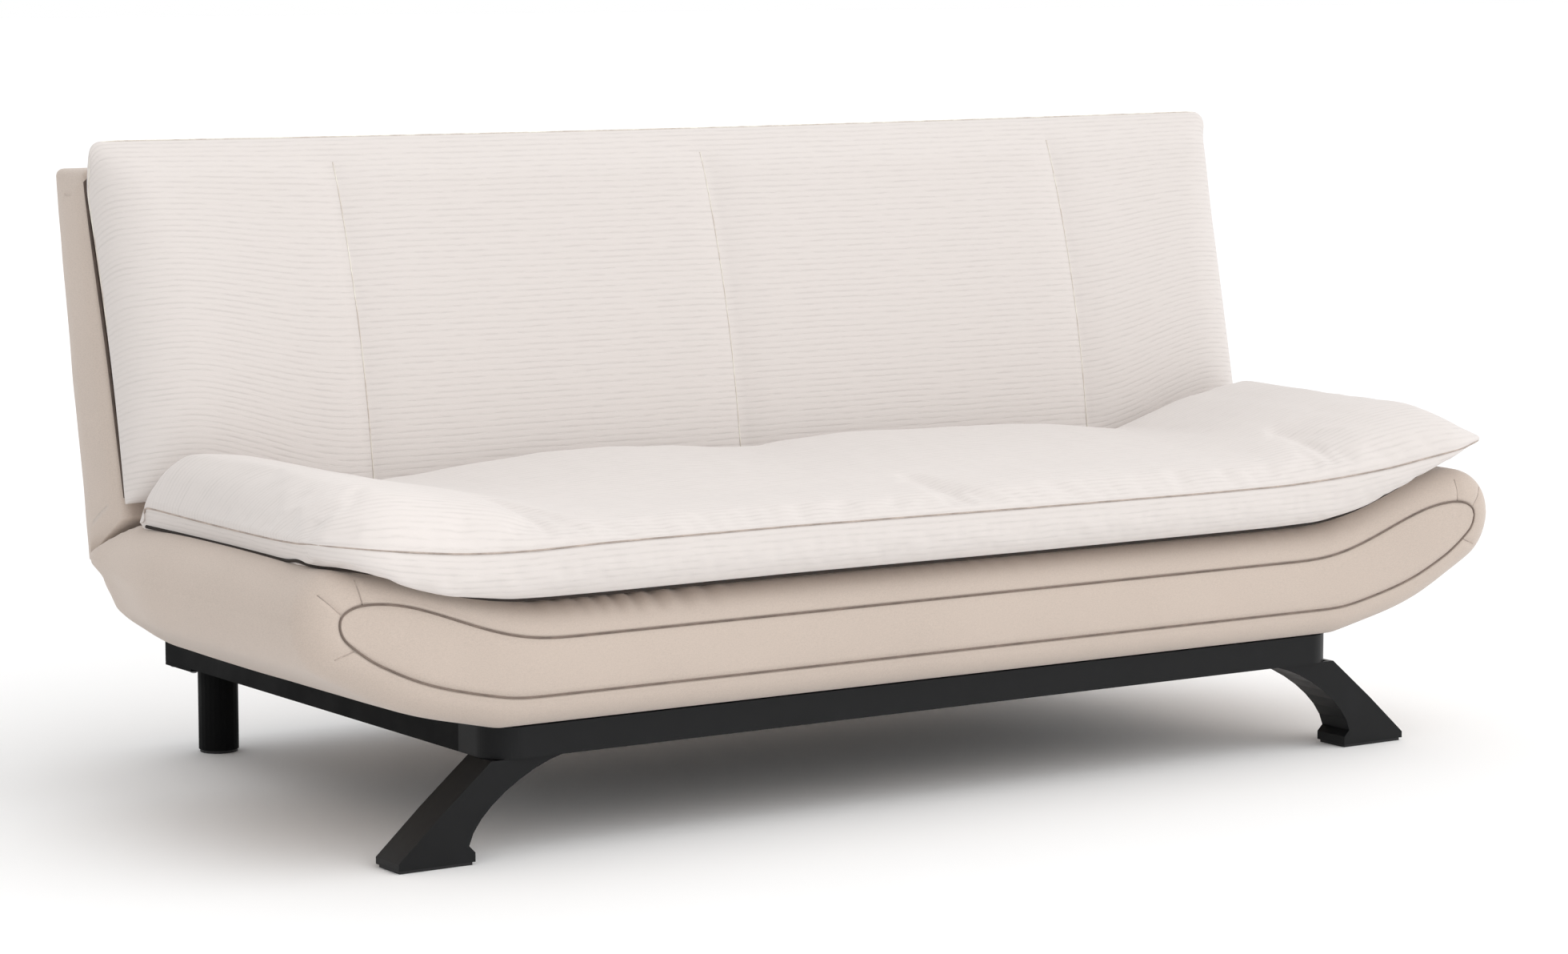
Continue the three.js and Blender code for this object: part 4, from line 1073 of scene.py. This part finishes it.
seam_cord("seat_topper_seam", topper, seat_seam, 0.0011, thread, "base", (0, -0.001, 0))
# a dark cord along the seat topper's lower edge: painted shadow under the topper's overhang
seam_cord("seat_topper_shadow_cord", topper, seat_edge, 0.0024, shadow_cord, "base", (0, 0, -0.0012))
seam_cord("back_topper_seam", rest, back_seam, 0.0009, pale, "back", (0, 0, 0.0004))
# a dark brown cord in the groove along the back topper's sides and head against the shell: painted shadow
# in that groove
up = np.linspace(0.1, 0.53, 40)
over = np.linspace(-0.9465, 0.9465, 90)
side = lean(np.full(40, 0.0026), up, -0.9475 - 0.0035 * smooth(0.25, 0.5, up))
head = lean(np.full(90, 0.0026), 0.55 - 0.02 * np.abs(over / 0.9465) ** 30, over)
around = np.vstack([side, head[1:-1], side[::-1] * np.array([-1, 1, 1])])
strip = cord_mesh("back_topper_shadow_cord", resample(around, 260), 0.0026)
belong(strip, shadow_umber, "back")
for number, row in enumerate(tuft_rows):
    seam_cord("back_tuft_%d" % (number + 1), rest, row, 0.0007, pale, "back", (0, -0.0004, 0))


# Back

# radius of each corner of the shell's slice, and the number of points along the side after it
SHELL_CORNERS = ((0.005, 10), (0.006, 34), (0.012, 8), (0.01, 34))


def shell_places():
    """Places across the shell's length, each with how far its slice is drawn in."""
    middle = np.linspace(-(BACK_HALF - BACK_SOFT), BACK_HALF - BACK_SOFT, 150)
    tips = [(BACK_HALF - BACK_SOFT + BACK_SOFT * math.sin(a), BACK_SOFT * (1 - math.cos(a)))
            for a in np.linspace(0, math.pi / 2, 9)[1:]]
    tips += [(BACK_HALF + out, draw) for out, draw in ((0.0012, 0.02), (0.0022, 0.028), (0.0028, 0.036))]
    return [(-x, draw) for x, draw in tips[::-1]] + [(x, 0.0) for x in middle] + tips


def shell_slice(x, draw):
    """The shell's outline at x: foot, rear, head and face, with rounded corners."""
    front, rear, _, _ = foot(x)
    corners = np.array([[0.0, front], [FOOT_DEEP, rear],
                        [HEAD_DEEP - 0.0015, BACK_HIGH + 0.021], [0.0, BACK_HIGH]])
    box = draw_in(corners, draw)
    if draw <= BACK_SOFT:
        box[:2, 1] = corners[:2, 1] + 0.25 * draw
    ring = []
    for i, (radius, count) in enumerate(SHELL_CORNERS):
        p, q = box[i], box[(i + 1) % 4]
        r = max(radius - draw, 0.003)
        turned = toward(p, q, r)
        ring.append(bend(toward(p, box[i - 1], r), p, turned, 7))
        ahead = toward(q, p, max(SHELL_CORNERS[(i + 1) % 4][0] - draw, 0.003))
        ring.append(turned + (ahead - turned) * np.linspace(0, 1, count + 2)[1:-1][:, None])
    ring = np.roll(np.vstack(ring), -12, axis=0)
    return lean(-ring[:, 0], ring[:, 1], np.full(len(ring), x))


def back_body():
    obj = sleeve("back_cover_soft", np.array([shell_slice(x, draw) for x, draw in shell_places()]))
    co = coords(obj)
    t, s = on_back(co[:, 1], co[:, 2])
    crown = hump((co[:, 0] + BACK_HALF) / (2 * BACK_HALF)) ** 0.4 * hump(s / BACK_HIGH) ** 0.7
    rear = smooth(0.07, 0.095, t)
    # the cover stays flat where it lies on the two rubber rests
    off = ((np.abs(co[:, 0]) - PRESSED[0]) / 0.07) ** 4 + ((s - PRESSED[1]) / 0.07) ** 4
    pressed = np.exp(-off)
    bulge = (0.004 * crown + 0.0016 * waves(co, 0.4, 11)) * rear * (1 - pressed) - 0.0004 * pressed * rear
    co[:, 1] += bulge * math.cos(LEAN)
    co[:, 2] -= bulge * math.sin(LEAN)
    side = smooth(BACK_HALF - 0.03, BACK_HALF - 0.002, np.abs(co[:, 0]))
    across = hump(t / 0.12) * hump(s / BACK_HIGH) ** 0.4
    co[:, 0] += np.sign(co[:, 0]) * side * (0.003 * across + 0.0014 * waves(co, 0.16, 12))
    put(obj, co)
    return obj


shell = back_body()
belong(shell, beige, "back")
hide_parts("back_cover")


# Frame: the same forms with their edges eased


def eased(name):
    obj = new_object(name + "_eased", nodes[name].data.copy())
    modified(obj, "BEVEL", width=0.0014, segments=3, limit_method="ANGLE",
             angle_limit=math.radians(35), use_clamp_overlap=True)
    obj.data.polygons.foreach_set("use_smooth", [True] * len(obj.data.polygons))
    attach(obj, "base")
    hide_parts(name)


for name in sorted(nodes):
    if name.startswith(("frame_", "front_leg", "rear_leg", "front_glide")):
        eased(name)


# Small parts below


def many(name, parts):
    """Many small metal solids as one piece."""
    verts, faces = [], []
    for points, loops in parts:
        start = len(verts)
        verts += list(points)
        faces += [[start + k for k in loop] for loop in loops]
    belong(add_mesh(name, verts, faces, shade=False), steel, "base")


def brick(x, y, dx, dy):
    """A staple's back, just below the dust cloth."""
    points = [(x + i * dx / 2, y + j * dy / 2, CLOTH_Z - 0.0009 + k * 0.0008 / 2)
              for i in (-1, 1) for j in (-1, 1) for k in (-1, 1)]
    return points, [(0, 1, 3, 2), (4, 6, 7, 5), (0, 4, 5, 1), (2, 3, 7, 6), (0, 2, 6, 4), (1, 5, 7, 3)]


def bolt_head(x, y, z, radius=0.0055, high=0.0032, sides=12):
    """A low domed head below a plate, its flat side up."""
    points, loops = [(x, y, z - high)], []
    for r, drop in ((1, 0), (1, 0.45), (0.82, 0.8), (0.45, 1)):
        for a in np.arange(sides) / sides * 2 * math.pi:
            points.append((x + r * radius * math.cos(a), y + r * radius * math.sin(a), z - high * drop))
    for ring in range(3):
        for i in range(sides):
            a, b = 1 + ring * sides + i, 1 + ring * sides + (i + 1) % sides
            loops.append((a, b, b + sides, a + sides))
    loops += [(1 + 3 * sides + (i + 1) % sides, 1 + 3 * sides + i, 0) for i in range(sides)]
    loops.append(tuple(range(sides, 0, -1)))
    return points, loops


CLOTH_X, CLOTH_FRONT, CLOTH_REAR, CLOTH_Z = 0.6396, -0.3335, 0.1006, 0.1716
ACROSS, DEEP = 97, 34
gx, gy = np.meshgrid(np.linspace(-CLOTH_X, CLOTH_X, ACROSS), np.linspace(CLOTH_FRONT, CLOTH_REAR, DEEP),
                     indexing="ij")
to_edge = np.minimum(np.minimum(CLOTH_X - np.abs(gx), gy - CLOTH_FRONT), CLOTH_REAR - gy)
sag = 0.0045 * smooth(0.0, 0.16, to_edge) + 0.0011 * smooth(0.0, 0.03, to_edge) * np.sin(gx * 150 + gy * 40)
sag += 0.0006 * waves(np.stack([gx, gy, 0 * gx], -1), 0.12, 31) * smooth(0, 0.04, to_edge)
hung = np.stack([gx, gy, CLOTH_Z - sag], -1).reshape(-1, 3)
quads = grid_quads(np.arange(ACROSS * DEEP).reshape(ACROSS, DEEP))
dust = add_mesh("seat_dust_cloth_soft", hung, quads, uvs=hung[:, :2])
belong(dust, cloth, "base")
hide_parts("seat_dust_cloth")

wires = [brick(x, y, 0.0105, 0.0012)
         for x in np.arange(-0.615, 0.62, 0.041) for y in (CLOTH_FRONT + 0.006, CLOTH_REAR - 0.006)]
wires += [brick(x, y, 0.0012, 0.0105)
          for y in np.arange(-0.3, 0.09, 0.042) for x in (-CLOTH_X + 0.006, CLOTH_X - 0.006)]
many("dust_cloth_staples", wires)

heads = [bolt_head(sx * 0.652 + i * 0.043, 0.4605 + j * 0.032, 0.1267)
         for sx in (-1, 1) for i in (-1, 1) for j in (-1, 1)]
many("rear_leg_bolts", heads)


# Camera, floor and light


def aim(obj, place, way):
    obj.location = place
    obj.rotation_mode = "QUATERNION"
    obj.rotation_quaternion = Vector(way).to_track_quat("-Z", "Y")


camera = new_object("camera", bpy.data.cameras.new("camera"))
scene.camera = camera
azimuth, drop = math.radians(33.95), math.radians(6.96)
aim(camera, (-3.4293, -4.7078 + BACK_SHIFT, 1.15785),
    (math.sin(azimuth) * math.cos(drop), math.cos(azimuth) * math.cos(drop), -math.sin(drop)))
camera.data.lens = 99.75
camera.data.sensor_width = 36
camera.data.clip_end = 200

floor_mat = Nodes("floor_pale", (0.95, 0.95, 0.95), 0.95, specular=0.05)
grain = floor_mat.noise(floor_mat.place(), 2.0, 2)
pale_grey = floor_mat.ramp(grain, (0.3, 0.945 / 0.95), (0.7, 0.955 / 0.95))
floor_mat.to("Base Color", pale_grey)
floor = add_mesh("floor", [(-60, -60, 0), (60, -60, 0), (60, 60, 0), (-60, 60, 0)], [(0, 1, 2, 3)])
dress(floor, floor_mat.m)

world = bpy.data.worlds.new("world")
scene.world = world
world.use_nodes = True
sky = world.node_tree
way = sky.nodes.new("ShaderNodeTexCoord")
axes = sky.nodes.new("ShaderNodeSeparateXYZ")
span = sky.nodes.new("ShaderNodeMapRange")
sky.links.new(way.outputs["Generated"], axes.inputs[0])
sky.links.new(axes.outputs[0], span.inputs["Value"])
for key, value in (("From Min", -0.75), ("From Max", 0.1), ("To Min", SKY_LEFT), ("To Max", SKY)):
    span.inputs[key].default_value = value
sky.links.new(span.outputs[0], sky.nodes["Background"].inputs["Strength"])
sky.nodes["Background"].inputs["Color"].default_value = (1, 1, 1, 1)
scene.view_settings.view_transform = "Standard"

sun = bpy.data.lights.new("key", "SUN")
sun.energy = SUN
sun.angle = math.radians(70)
aim(new_object("key", sun), (1.6, -3.2, 4.4), (-1.6, 3.2, -4))
